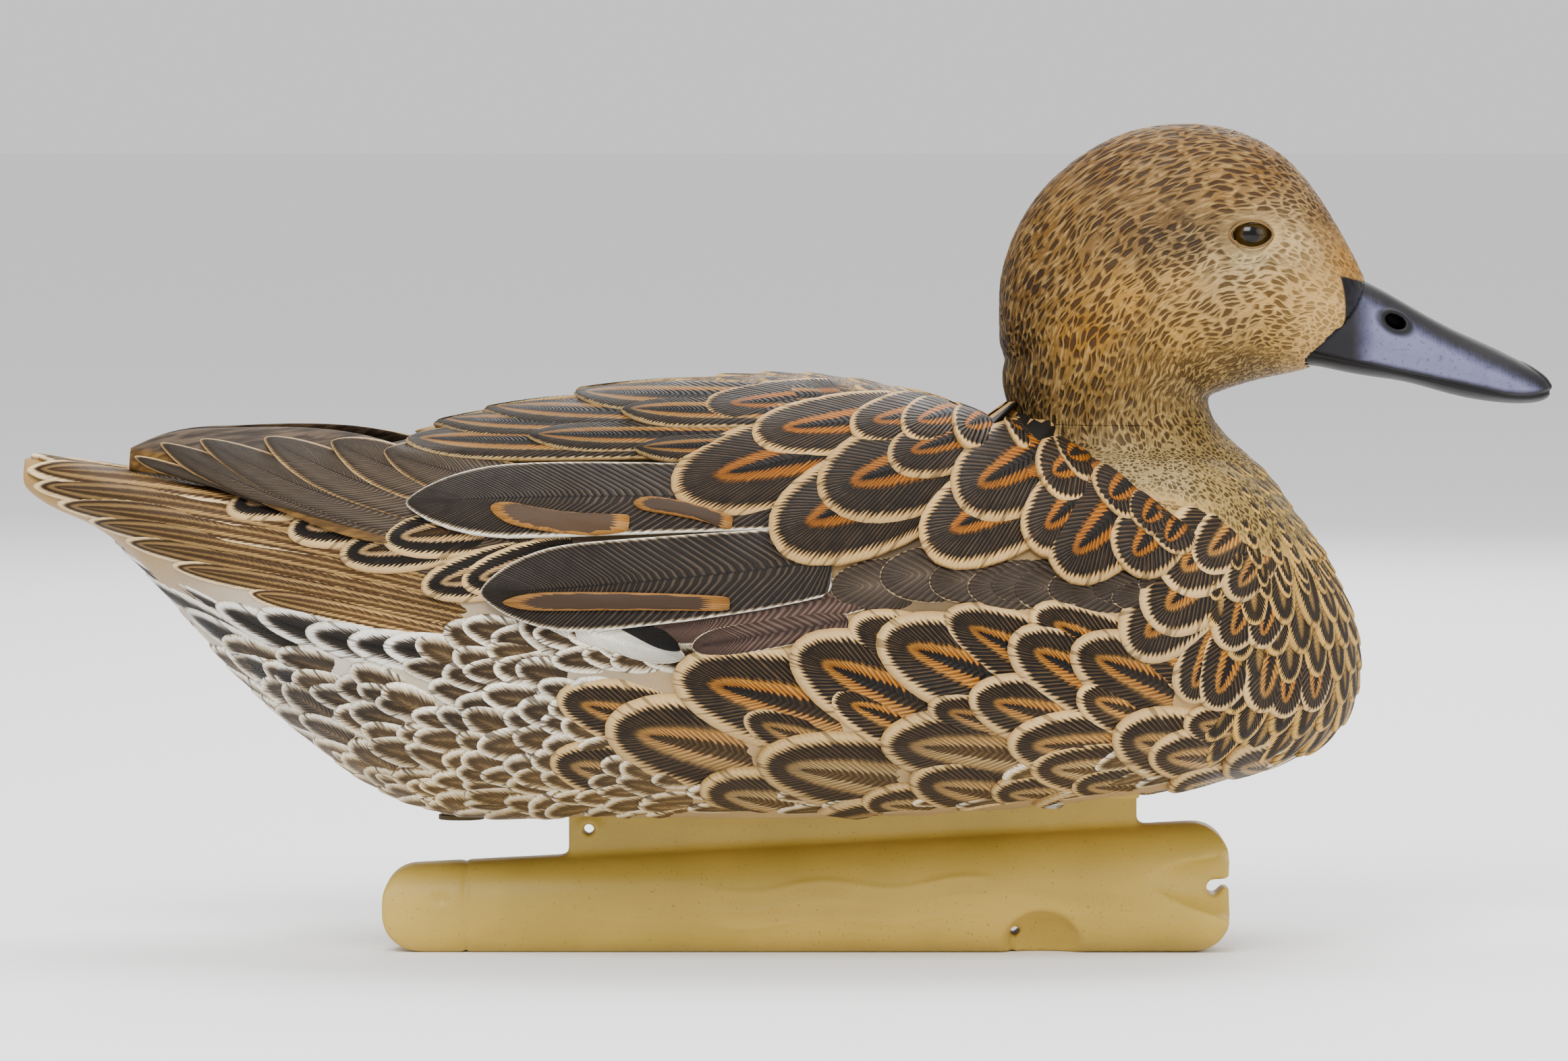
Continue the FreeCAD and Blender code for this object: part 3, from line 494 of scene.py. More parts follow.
EYE_BOX = {side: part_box(SIDE_NAMES[side] + "_eye") for side in (RIGHT, LEFT)}
EYE_X = (EYE_BOX[RIGHT][0].x + EYE_BOX[RIGHT][1].x) / 2 + 0.4 * MM
EYE_Z = (EYE_BOX[RIGHT][0].z + EYE_BOX[RIGHT][1].z) / 2
EYE_HALF_LENGTH, EYE_HALF_HEIGHT = 5.6 * MM, 3.7 * MM


def eye_reach(co):
    """How far out a point is in the almond of the eye: 1 on its rim."""
    return math.hypot((co.x - EYE_X) / EYE_HALF_LENGTH, (co.z - EYE_Z) / EYE_HALF_HEIGHT)


def carve_plumage(bm, pit_depth, region=None):
    """Carves pits along the flow and paints each vertex's tone and pit depth."""
    tone_layer = bm.verts.layers.float_color.new("tone")
    pit_layer = bm.verts.layers.float_color.new("pit")
    flow_layer = bm.verts.layers.float_vector.new("flow")
    bm.normal_update()
    moves = []
    for vertex in bm.verts:
        x, y, z = vertex.co / MM
        share = 1.0 if region is None else region(x, y, z)
        if share <= 0:
            continue
        along, across, out = flow_place(x, y, z)
        vertex[flow_layer] = (along, across, out)
        reach = eye_reach(vertex.co) if abs(y) > 12 else 9.0
        calm = clip((reach - 1.25) / 0.7)
        pit = feather_pits(x, y, z) * calm * share
        vertex[tone_layer] = (*[0.68 * value for value in blend_tones(x, z, HEAD_TONES)], 1.0)
        crown_share = clip((z - 203 - 0.25 * abs(x - 120) * (x < 120)) / 8)
        shallow = 1.0 - 0.4 * clip((x - 136) / 14) * (z < 206)
        vertex[pit_layer] = (calm * share * shallow, streak_amount(x, z), crown_share, 1.0)
        depth = -pit * pit_depth
        if reach < 1.7:
            lid = bell(reach - 1.3, 0.2) * 0.25 * MM
            socket = max(0.0, 1.12 - reach) / 1.12
            depth += lid - min(1.0, socket * 4) * 2.4 * MM
        moves.append((vertex, vertex.normal * depth))
    shift(moves)


def make_pits():
    """Carved feathering along the flow: dark pits between pale ridges, drawn out on the crown.

    The flow attribute holds the place along the flow, across it and out to the side, in mm. The pit
    attribute holds how much is carved, how much is fine hair, and how far the place is on the crown.
    """
    outputs = [("Pit", "Float"), ("Ridge", "Float"), ("Relief", "Float")]
    n, given, out = start_group("carved_pits", [("Depth", "Float", 1.0)], outputs)
    along, across, side = n.parts(n.attribute("flow")["Vector"])
    amount, hair, crown = n.add("SeparateColor", {0: n.attribute("pit")["Color"]}).outputs[:3]
    place = n.join(along, across, side)
    sway = n.times(n.minus(n.noise(place, 0.045, 1.0), 0.5), 8.0)
    wave = n.times(n.minus(n.noise(place, 0.3, 1.0), 0.5), 1.0)
    across = n.plus(across, n.plus(sway, wave))
    pits = []
    for length, width, size in ((8.4, 1.5, 0.08), (4.8, 1.45, 0.08), (6.2, 1.5, 0.07)):
        cell = n.join(
            n.over(along, length), n.over(across, width), n.over(side, width)
        )
        inputs = {"Vector": cell, "Scale": 1.0, "Randomness": 0.9}
        rim = n.add("TexVoronoi", inputs, feature="DISTANCE_TO_EDGE").outputs["Distance"]
        pits.append(n.span(rim, size, size + 0.2))
    outer = n.span(across, 42.0, 50.0)
    pit = n.blend(crown, n.blend(outer, pits[0], pits[1]), pits[2])
    lines = n.join(n.times(along, 0.16), n.times(across, 1.5), n.times(side, 0.8))
    strand = n.noise(lines, 1.0, 3.0, 0.6)
    hairs = n.span(strand, 0.56, 0.4, 0.0, 0.8)
    pit = n.times(n.times(n.blend(hair, pit, hairs), amount), given["Depth"])
    n.feed(out["Pit"], pit)
    n.feed(out["Ridge"], n.span(strand, 0.45, 0.68))
    n.feed(out["Relief"], n.minus(n.times(strand, 0.5), pit))
    return n.tree


CARVED_PITS = make_pits()


def plumage_colours(n, tone, pits):
    """Toned paint: pale ridges, partly dry-brushed paint and partly painted highlight, and dark pits,
    partly paint and partly painted shade in the carving.
    """
    # Ridges lightened towards pale buff: partly dry-brushed paint, partly painted highlight.
    lit = n.mix(n.times(pits["Ridge"], 0.6), tone, n.mix(0.4, tone, paint(206, 178, 130)))
    # Pits darkened: partly dark paint, partly painted shade in the carving.
    deep = n.mix(1.0, tone, paint(116, 104, 82), "MULTIPLY")
    return n.mix(n.times(pits["Pit"], 0.94), lit, deep)


HORN_BLACK = paint(17, 15, 17)


def plumage_paint():
    """Head and neck: toned buff ridges with dark carved pits, and slate horn at the bill's root."""
    material, n, surface = start_material("head_plumage")
    pits = n.use(CARVED_PITS, Depth=1.0)
    colour = plumage_colours(n, n.attribute("tone")["Color"], pits)
    finish = n.use(HAND_PAINT, Color=colour, Drift=0.22, Grain=0.22)
    inward = n.attribute("horn")["Fac"]
    horn = n.span(inward, 0.47, 0.53)
    slate = n.mix(n.span(inward, 0.6, 0.95), HORN_BLACK, paint(36, 35, 44))
    n.feed(surface["Base Color"], n.mix(horn, finish["Color"], slate))
    n.feed(surface["Roughness"], n.mix(horn, finish["Roughness"], (0.35, 0.35, 0.35, 1.0)))
    relief = n.times(pits["Relief"], n.minus(1.0, horn))
    n.feed(surface["Normal"], n.bump(relief, 0.9, 0.0007))
    return material


PLUMAGE = plumage_paint()


# Where the feathering stops at the bill's root, in side view.
BILL_ROOT = [
    (170.0, 147.5), (171.0, 150.5), (173.0, 154.0), (175.0, 155.5), (177.0, 156.6), (180.0, 157.4),
    (183.0, 157.4), (187.0, 157.0), (190.0, 156.4), (192.0, 155.8),
]


def bill_share(x, z):
    """0.5 on the edge between feathering and horn, rising over the horn."""
    edge = BILL_ROOT[-1][1]
    for (low, at_low), (high, at_high) in zip(BILL_ROOT, BILL_ROOT[1:]):
        if low <= z <= high:
            edge = at_low + (at_high - at_low) * (z - low) / (high - low)
    inside = min(x - edge, 191.9 - 0.27 * (x - 156) - z)
    return clip(0.5 + inside / 12) if z > 169.9 else 0.0


def make_head():
    """The head's skin: feathering carved along the flow, eye sockets, and the bill's root."""
    bm = bird_skin(0.75 * MM)
    keep_side(bm, NECK_JOINT, above=True)
    carve_plumage(bm, 0.18 * MM)
    horn_layer = bm.verts.layers.float.new("horn")
    for vertex in bm.verts:
        vertex[horn_layer] = bill_share(vertex.co.x / MM, vertex.co.z / MM)
    return finish_piece(bm, "head_skin", PLUMAGE, replaces=("head_shell",))


def neck_share(x, y, z):
    """1 on the neck, fading to 0 where the body's feathers begin."""
    if x < 56 or z < 112:
        return 0.0
    return min(1.0, (z - 112) / 8.0) * clip((52 - abs(y)) / 6.0)


BODY_TONES = [
    (x, z, paint(*colour))
    for x, z, colour in (
        (0, 160, (62, 50, 40)), (-60, 150, (62, 50, 40)), (40, 120, (66, 54, 42)), (-60, 112, (62, 52, 44)),
        (-120, 140, (64, 50, 36)), (-200, 130, (150, 124, 86)), (-110, 105, (190, 170, 140)),
        (-130, 80, (196, 190, 180)), (-80, 70, (190, 182, 168)), (-100, 45, (170, 158, 138)),
        (0, 90, (176, 150, 112)), (0, 50, (170, 146, 110)), (60, 60, (172, 148, 114)),
        (80, 90, (168, 142, 106)), (120, 90, (160, 134, 96)), (150, 80, (150, 124, 84)),
        (130, 120, (178, 148, 98)), (-60, 37, (160, 136, 102)), (60, 38, (160, 136, 102)),
    )
]


def body_paint():
    """The skin between feathers: toned paint with brushed strokes, and carved pits on the neck."""
    material, n, surface = start_material("body_plumage")
    place = n.place()
    x, y, z = n.parts(place)
    stroke = n.noise(n.join(n.times(x, 0.25), y, z), 900.0, 3.0, 0.6)
    strokes = n.times(n.span(stroke, 0.5, 0.68), 0.7)
    pits = n.use(CARVED_PITS, Depth=1.0)
    tone = n.attribute("tone")["Color"]
    colour = plumage_colours(n, tone, pits)
    neck = n.span(n.add("SeparateColor", {0: n.attribute("pit")["Color"]}).outputs[0], 0.1, 0.5)
    brushed = n.mix(strokes, tone, n.mix(1.0, tone, paint(120, 104, 90), "MULTIPLY"))
    finish = n.hand_paint(surface, n.mix(neck, brushed, colour), 0.22, 0.2)
    plain = n.times(strokes, n.minus(neck, 1.0))
    relief = n.plus(plain, n.times(pits["Relief"], neck))
    n.feed(surface["Normal"], n.bump(relief, 0.9, 0.0006))
    return material


SINK = 0.9 * MM


def make_body():
    """The body skin, sunk a little so that the feathers' crests reach the true outline."""
    bm = bird_skin(1.8 * MM)
    surface = BVHTree.FromBMesh(bm)
    keep_side(bm, NECK_JOINT, above=False)
    fine = [face for face in bm.faces if neck_share(*(face.calc_center_median() / MM)) > 0]
    edges = list({edge for face in fine for edge in face.edges})
    bmesh.ops.subdivide_edges(bm, edges=edges, cuts=1, use_grid_fill=True)
    carve_plumage(bm, 0.18 * MM, neck_share)
    tone_layer = bm.verts.layers.float_color["tone"]
    bm.normal_update()
    moves = []
    for vertex in bm.verts:
        x, y, z = vertex.co / MM
        share = neck_share(x, y, z)
        if share < 1:
            own = vertex[tone_layer]
            base = blend_tones(x, z, BODY_TONES)
            vertex[tone_layer] = (*[own[i] * share + base[i] * (1 - share) for i in range(3)], 1.0)
            moves.append((vertex, vertex.normal * -SINK * (1 - share)))
    shift(moves)
    finish_piece(bm, "body_skin", body_paint(), replaces=("body_shell",))
    return surface


# ---------------------------------------------------------------- feathers


def feather_template(segments, rings, pointed, straight, aspect):
    """A flat unit feather as a mesh: across from -1 to 1, root at 0 and tip at 1, with a skirt below.

    Its rows follow the barbs, from the shaft out to the edge. Pointed above 1 draws the tip out.
    Straight is the share of its length with parallel sides, and aspect its half-width over its length.
    """
    bm = bmesh.new()
    bmesh.ops.create_grid(bm, x_segments=segments, y_segments=rings, size=1)
    uv = bm.loops.layers.uv.new("feather")
    bm.verts.layers.float_color.new("plume")
    barb_run, tip_run = aspect * 0.95, 0.8
    for vertex in bm.verts:
        vertex.co.z = 0.0
    for face in bm.faces:
        for loop in face.loops:
            loop[uv].uv = (loop.vert.co.x, (loop.vert.co.y + 1) / 2)
    for vertex in bm.verts:
        along, inset = vertex.co.x, (vertex.co.y + 1) / 2
        turn = min(1.0, abs(along) / 0.62)
        side = max(0.0, abs(along) - 0.62) / 0.38
        angle = turn * math.pi / 2
        edge_x = math.sin(angle) ** pointed * (1 - 0.22 * side * side)
        edge_y = straight * (1 - side) + (1 - straight) * math.cos(angle)
        shaft_y = max(0.0, edge_y - barb_run * math.hypot(edge_x, tip_run))
        x = inset * edge_x * math.copysign(1, along)
        y = shaft_y + inset * (edge_y - shaft_y)
        vertex.co = (x, y, 0)
    bmesh.ops.remove_doubles(bm, verts=bm.verts, dist=1e-4)
    rim = [edge for edge in bm.edges if edge.is_boundary]
    wall = bmesh.ops.extrude_edge_only(bm, edges=rim)["geom"]
    for item in wall:
        if isinstance(item, bmesh.types.BMVert):
            item.co.z = -1
    for face in bm.faces:
        for loop in face.loops:
            if loop.vert.co.z < -0.5 or any(v.co.z < -0.5 for v in face.verts):
                loop[uv].uv = (loop[uv].uv.x, 1.0)
    bottom = [edge for edge in bm.edges if edge.is_boundary]
    bmesh.ops.edgeloop_fill(bm, edges=bottom)
    bmesh.ops.recalc_face_normals(bm, faces=bm.faces)
    mesh = bpy.data.meshes.new("feather_template")
    bm.to_mesh(mesh)
    bm.free()
    return mesh


ROUND = feather_template(14, 3, 1.0, 0.35, 0.40)
BROAD = feather_template(14, 3, 0.85, 0.45, 0.42)
LONG = feather_template(18, 3, 1.25, 0.80, 0.12)
BLADE = feather_template(18, 3, 1.5, 0.72, 0.14)
ROUND_SMALL = feather_template(12, 3, 1.0, 0.3, 0.36)
BROAD_SMALL = feather_template(12, 3, 0.85, 0.4, 0.36)


def feather(tip_x, tip_y, rise, length, width, lift=1.0):
    """One feather in a chart, in mm: its tip, how steeply it points up, its size and its height."""
    angle = math.radians(rise)
    heading = (-math.cos(angle), math.sin(angle))
    return (tip_x, tip_y), heading, length, width, 0.0, lift


def tract(*rows):
    """Feathers from rows of what feather() takes."""
    return [feather(*row) for row in rows]


def blade(tip, root, width, bend=0.0, lift=1.0):
    """One long feather in a chart, from its root to its tip, in mm."""
    heading = Vector(tip) - Vector(root)
    length = heading.length
    heading.normalize()
    return tip, tuple(heading), length, width, bend, lift


def side_chart(surface, side):
    """Places points of the side view, in mm, on the bird's surface."""

    def place(x, z):
        """Where a place of the chart is on the skin."""
        origin = Vector((x, side * 300, z)) * MM
        point, normal, _, _ = surface.ray_cast(origin, Vector((0, -side, 0)))
        if point is None:
            point, normal, _, _ = surface.find_nearest(Vector((x, side * 8, z)) * MM)
        return point, normal

    return place


# Ahead of the nape's foot the back is looked down on from under the head.
NAPE_FORWARD, NAPE_HEIGHT = 45.0, 158.0


def top_chart(surface, upward=1):
    """Places points of the plan view, in mm, on the bird's back, or on its belly."""

    def place(x, y):
        """Where a place of the chart is on the skin."""
        start = NAPE_HEIGHT if upward > 0 and x > NAPE_FORWARD else 100 + 300 * upward
        origin = Vector((x, y, start)) * MM
        point, normal, _, _ = surface.ray_cast(origin, Vector((0, 0, -upward)))
        if point is None:
            point, normal, _, _ = surface.find_nearest(Vector((x, y, 95 + 40 * upward)) * MM)
        return point, normal

    return place


BREAST_AXIS, BREAST_REACH = 95.0, 62.0


def breast_chart(surface):
    """Places points round the breast: the distance round from the front, and the height, in mm."""

    def place(around, z):
        """Where a place of the chart is on the skin."""
        angle = around / BREAST_REACH
        out = Vector((math.cos(angle), math.sin(angle), 0))
        origin = (Vector((BREAST_AXIS, 0, z)) + out * 200) * MM
        point, normal, _, _ = surface.ray_cast(origin, -out)
        if point is None:
            point, normal, _, _ = surface.find_nearest((Vector((BREAST_AXIS, 0, z)) + out * 50) * MM)
        return point, normal

    return place


SKIRT = 2.2


# The upper edge of the mantle in side view, where the neck's feathering lies over it.
NECK_LINE = [
    (50, 155.5), (60, 153), (66, 150.5), (75, 147), (87, 141.5), (95, 135.5), (105, 128), (112, 122.5),
    (122, 114), (128, 106), (136, 90),
]


def beyond_neck(x, z):
    """How far a point of the side view is past the mantle's edge, on the neck, in mm."""
    for (left, at_left), (right, at_right) in zip(NECK_LINE, NECK_LINE[1:]):
        if left <= x <= right:
            return max(0.0, z - at_left - (at_right - at_left) * (x - left) / (right - left))
    return 0.0


def lay_feathers(name, chart, feathers, template, material,
                 crown=0.5, seed=1, level=1, base=-0.9, root=-0.4, beyond=None):
    """Lays feathers on a chart as one piece of closed relief shells.

    Each rises from its root to its tip, both measured from the tract's base; crown is how much it
    swells, in mm. Beyond says how far a place is past the tract's edge, where feathers dive under.
    """
    dice = random.Random(seed)
    bm = bmesh.new()
    bm.loops.layers.uv.new("feather")
    bm.verts.layers.float_color.new("plume")
    for tip, heading, length, width, bend, lift in feathers:
        start = len(bm.verts)
        bm.from_mesh(template)
        bm.verts.ensure_lookup_table()
        plume = bm.verts.layers.float_color["plume"]
        luck, chance = dice.random(), dice.random()
        while beyond and beyond(tip[0] - heading[0] * length, tip[1] - heading[1] * length) > 1.0:
            length *= 0.94
        edge_length = (2 * length + 0.6 * width) * MM
        lift += dice.uniform(-0.12, 0.12)
        across_x, across_y = -heading[1], heading[0]
        for vertex in bm.verts[start:]:
            a, b, low = vertex.co
            back = (1 - b) * length
            out = a * width / 2 + bend * 4 * b * (1 - b)
            x = tip[0] - heading[0] * back + across_x * out
            y = tip[1] - heading[1] * back + across_y * out
            point, normal = chart(x, y)
            rise = root + (lift - root) * max(0.0, b) ** 1.1 + crown * (1 - a * a) * b
            if beyond:
                rise -= min(6.0, 1.6 * beyond(x, y))
            if low < -0.5:
                rise = min(root, rise) - SKIRT
            vertex.co = point + normal * (rise + base) * MM
            vertex[plume] = (luck, chance, edge_length, 1.0)
    bmesh.ops.recalc_face_normals(bm, faces=bm.faces)
    return finish_piece(bm, name, material, level=level)


# ---------------------------------------------------------------- feather paints

FLANK_PAINT = feather_paint(
    "flank_feathers",
    bands=[(0.0, BLACK_BROWN), (0.15, DARK), (0.18, ORANGE), (0.36, paint(178, 128, 74)),
           (0.40, BLACK_BROWN), (0.56, DARK), (0.74, BLACK_BROWN), (0.78, paint(160, 130, 92)),
           (0.84, PALE_BUFF), (1.0, BUFF)],
    faded=[(0.0, paint(84, 64, 40)), (0.16, paint(92, 72, 46)), (0.21, paint(172, 148, 108)),
           (0.42, paint(158, 130, 90)), (0.46, paint(50, 36, 22)), (0.72, paint(40, 29, 18)),
           (0.77, paint(152, 124, 84)), (0.9, paint(182, 158, 118)), (1.0, paint(146, 118, 78))],
    fade_from=0.084, fade_to=0.052, pitch=1.5, comb=0.07, tone=paint(74, 58, 40), rim=0.77,
)
SCAPULAR_PAINT = feather_paint(
    "scapular_feathers",
    bands=[(0.0, BLACK_BROWN), (0.17, DARK), (0.20, paint(150, 92, 40)), (0.36, ORANGE),
           (0.39, BLACK_BROWN), (0.6, DARK), (0.79, BLACK_BROWN), (0.83, paint(150, 118, 78)),
           (0.9, paint(184, 156, 114)), (1.0, paint(150, 120, 80))],
    pitch=1.4, comb=0.07, tone=paint(66, 52, 38), rim=0.82,
)
BREAST_PAINT = feather_paint(
    "breast_feathers",
    bands=[(0.0, paint(156, 128, 84)), (0.22, paint(132, 104, 66)), (0.3, DARK), (0.66, BLACK_BROWN),
           (0.72, paint(152, 122, 74)), (0.84, paint(184, 152, 100)), (1.0, paint(134, 104, 62))],
    pitch=1.1, comb=0.09, tone=paint(70, 54, 34), splits=0.7, rim=0.7, dark_from=0.3,
)
VENT_PAINT = feather_paint(
    "vent_feathers",
    bands=[(0.0, paint(88, 74, 56)), (0.2, paint(56, 44, 31)), (0.46, paint(50, 40, 29)),
           (0.6, paint(110, 98, 82)), (0.74, paint(180, 170, 152)), (0.86, CHALK),
           (0.94, paint(184, 174, 156)), (1.0, paint(120, 106, 84))],
    faded=[(0.0, paint(128, 106, 74)), (0.22, paint(92, 72, 46)), (0.46, paint(84, 65, 42)),
           (0.6, paint(140, 120, 88)), (0.74, paint(186, 168, 136)), (0.86, paint(216, 204, 182)),
           (0.94, paint(160, 140, 108)), (1.0, paint(104, 84, 56))],
    fade_from=0.078, fade_to=0.045, pitch=1.1, comb=0.05, ragged=0.4, groove_shade=0.25, splits=1.0, rim=0.55,
)
UNDERTAIL_PAINT = feather_paint(
    "undertail_feathers",
    bands=[(0.0, BLACK_BROWN), (0.5, paint(44, 38, 32)), (0.6, paint(120, 112, 102)),
           (0.7, paint(196, 192, 184)), (0.86, CHALK), (1.0, paint(150, 142, 130))],
    pitch=1.1, comb=0.06, ragged=0.35, groove_shade=0.4, splits=0.8, rim=0.62,
)
TAIL_PAINT = feather_paint(
    "tail_feathers",
    bands=[(0.0, paint(150, 122, 84)), (0.12, paint(70, 50, 30)), (0.30, paint(84, 62, 38)),
           (0.38, paint(176, 146, 104)), (0.50, paint(150, 120, 80)), (0.56, paint(60, 42, 26)),
           (0.66, paint(72, 52, 32)), (0.72, PALE_BUFF), (0.90, paint(214, 194, 162)),
           (1.0, paint(110, 82, 48))],
    pitch=1.3, comb=0.05, groove_shade=0.35, splits=0.3, rim=0.7,
)
COVERT_BAR_PAINT = feather_paint(
    "tail_covert_feathers",
    bands=[(0.0, paint(72, 52, 32)), (0.22, DARK), (0.27, BUFF), (0.42, paint(214, 180, 138)),
           (0.46, BLACK_BROWN), (0.74, DARK), (0.79, PALE_BUFF), (1.0, paint(180, 150, 112))],
    pitch=1.2, comb=0.07, rim=0.77,
)
RUMP_PAINT = feather_paint(
    "rump_feathers",
    bands=[(0.0, BLACK_BROWN), (0.5, DARK), (0.82, BLACK_BROWN), (0.87, paint(120, 96, 66)),
           (1.0, paint(150, 122, 86))],
    pitch=1.2, comb=0.07, tone=paint(80, 64, 46), rim=0.84,
)
TERTIAL_PAINT = feather_paint(
    "tertial_feathers",
    bands=[(0.0, paint(24, 19, 15)), (0.04, paint(40, 33, 27)), (0.86, paint(30, 24, 20)),
           (0.91, paint(150, 134, 112)), (0.94, CHALK), (1.0, paint(214, 208, 196))],
    pitch=1.6, comb=0.02, ragged=0.08, groove_shade=0.65, splits=0.15, tone=paint(62, 53, 44),
    rim=0.9, dark_from=0.02,
)
STRIPED_PAINT = feather_paint(
    "striped_feathers",
    bands=[(0.0, BLACK_BROWN), (0.24, DARK), (0.29, paint(150, 100, 50)), (0.48, paint(150, 120, 80)),
           (0.53, DARK), (0.84, BLACK_BROWN), (0.89, paint(160, 138, 104)), (1.0, paint(134, 110, 76))],
    pitch=1.4, comb=0.04, splits=0.4, tone=paint(62, 50, 38), rim=0.88, dark_from=0.53,
)
PRIMARY_PAINT = feather_paint(
    "flight_feathers",
    bands=[(0.0, paint(40, 31, 23)), (0.05, paint(66, 55, 45)), (0.5, paint(82, 71, 60)),
           (0.80, paint(44, 34, 25)), (0.85, paint(150, 122, 86)), (0.93, paint(186, 160, 124)),
           (1.0, paint(96, 70, 40))],
    pitch=1.2, comb=0.01, ragged=0.06, groove_shade=0.6, splits=0.1, tone=paint(86, 74, 60), rim=0.87,
    dark_from=0.02,
)
WING_COVERT_PAINT = feather_paint(
    "wing_covert_feathers",
    bands=[(0.0, paint(76, 66, 56)), (0.7, paint(50, 42, 35)), (0.9, paint(58, 49, 41)),
           (0.94, paint(150, 134, 112)), (0.97, paint(168, 152, 128)), (1.0, paint(76, 66, 56))],
    pitch=1.9, comb=0.01, groove_shade=0.4, splits=0.2, rim=0.92, dark_from=0.1,
)
SPECULUM_PAINT = feather_paint(
    "speculum_feathers",
    bands=[(0.0, paint(58, 44, 38)), (0.4, paint(92, 74, 66)), (0.86, paint(78, 62, 54)),
           (0.90, paint(200, 186, 166)), (1.0, CHALK)],
    pitch=1.3, comb=0.02, ragged=0.1, groove_shade=0.75, splits=0.2, rim=0.88,
)
WHITE_BAR_PAINT = feather_paint(
    "white_bar_feathers", bands=[(0.0, CHALK), (1.0, paint(196, 190, 176))], groove_shade=0.15, splits=0.1,
)
BLACK_BAR_PAINT = feather_paint(
    "black_bar_feathers", bands=[(0.0, BLACK_BROWN), (1.0, paint(18, 15, 12))], groove_shade=0.3, splits=0.0,
)
BACK_PAINT = feather_paint(
    "back_feathers",
    bands=[(0.0, BLACK_BROWN), (0.22, DARK), (0.27, paint(150, 96, 44)), (0.42, paint(176, 124, 66)),
           (0.46, BLACK_BROWN), (0.76, DARK), (0.81, paint(156, 126, 84)), (0.9, paint(190, 162, 120)),
           (1.0, paint(140, 110, 70))],
    pitch=1.3, comb=0.07, tone=paint(64, 52, 38), rim=0.8, dark_from=0.46,
)
STRIPE_PAINT = feather_paint(
    "tertial_stripes",
    bands=[(0.0, paint(60, 46, 34)), (0.3, paint(70, 54, 40)), (0.42, paint(166, 126, 82)),
           (0.8, paint(180, 148, 108)), (1.0, paint(120, 84, 48))],
    groove_shade=0.3, splits=0.4, rim=0.5,
)


# ---------------------------------------------------------------- feather tracts
# Places are in mm in each tract's own chart. Side view: forward and up. Plan view: forward and left.

FLANK = tract(
    (92, 98, 30, 34, 22, 1.0), (66, 102, 28, 40, 22, 1.1), (42, 101, 26, 44, 24, 1.2),
    (16, 99, 24, 46, 24, 1.2), (-66, 60, 16, 36, 22, 0.9), (-64, 78, 16, 40, 22, 1.1),
    (121, 57, 14, 30, 22, 1.5), (106, 50.5, 10, 30, 19, 1.5), (99, 61.5, 10, 32, 21, 1.7),
    (89, 68, 18, 36, 27, 1.9), (88, 43.5, 10, 32, 17, 1.3), (67.5, 43.5, 8, 36, 18, 1.4),
    (66, 58.5, 8, 38, 21, 1.7), (59.5, 65.5, 6, 42, 24, 1.9), (77, 92, 24, 40, 26, 1.9),
    (60, 94.5, 26, 42, 27, 2.0), (49, 79, 16, 40, 24, 1.8), (45, 40.5, 8, 36, 17, 1.3),
    (33, 55, 16, 42, 24, 1.6), (24.5, 66, 8, 50, 27, 1.9), (23.5, 95.5, 20, 50, 31, 2.1),
    (0, 92, 24, 52, 32, 2.1), (7, 41.5, 4, 44, 18, 1.3), (-9.5, 60.5, 12, 52, 28, 1.9),
    (-25, 52, 16, 44, 24, 1.4), (-32.5, 85, 15, 58, 33, 2.0), (-51, 70.5, 14, 52, 32, 1.7),
    (11, 79, 22, 36, 20, 1.0), (38, 76, 18, 34, 18, 1.0), (-13, 73, 22, 36, 18, 0.9),
    (79, 79, 20, 30, 20, 1.0), (20, 47, 10, 34, 18, 0.8), (56, 50, 10, 32, 18, 0.8),
    (109, 70, 12, 26, 18, 0.9), (78, 52, 10, 30, 18, 0.8),
)
BREAST_SIDE = tract(
    (104, 107, -42, 30, 27, 1.5), (99, 96.5, -42, 32, 27, 1.6), (93, 89, -42, 34, 26, 1.5),
    (120.5, 89, -62, 24, 17, 1.3), (116.5, 72.5, -66, 26, 19, 1.5), (109.5, 75, -62, 24, 17, 1.2),
    (130, 89, -70, 20, 14, 1.2), (130.5, 71, -74, 24, 16, 1.5), (137, 69, -78, 24, 15, 1.4),
    (146, 70, -80, 22, 13, 1.3), (112, 112, -38, 26, 20, 1.0), (122, 103, -50, 22, 15, 1.0),
)
SCAPULARS = tract(
    (103, 117, -52, 24, 15, 1.0), (92, 111.5, -48, 30, 22, 1.5), (97, 122, -48, 26, 17, 1.2),
    (88, 128, -44, 30, 19, 1.4), (77, 139, -34, 28, 17, 1.3), (73, 110.5, -42, 38, 26, 1.9),
    (65.5, 117.5, -40, 36, 23, 1.8), (70, 133.5, -30, 34, 21, 1.6), (61.5, 147.5, -26, 26, 14, 1.3),
    (46, 147, -22, 32, 16, 1.5), (31, 148.5, -16, 32, 15, 1.4), (45, 129.5, -26, 44, 27, 2.0),
    (36, 117.5, -26, 44, 28, 2.2), (16.5, 149, -10, 34, 15, 1.4), (27, 140, -18, 34, 18, 1.3),
    (7.5, 131, -18, 48, 29, 2.2), (-5.5, 119.5, -22, 54, 31, 2.5), (-10.5, 147, -8, 44, 17, 1.7),
    (-33, 132.5, -14, 64, 27, 2.3), (-24, 154, -6, 40, 12, 1.2),
)
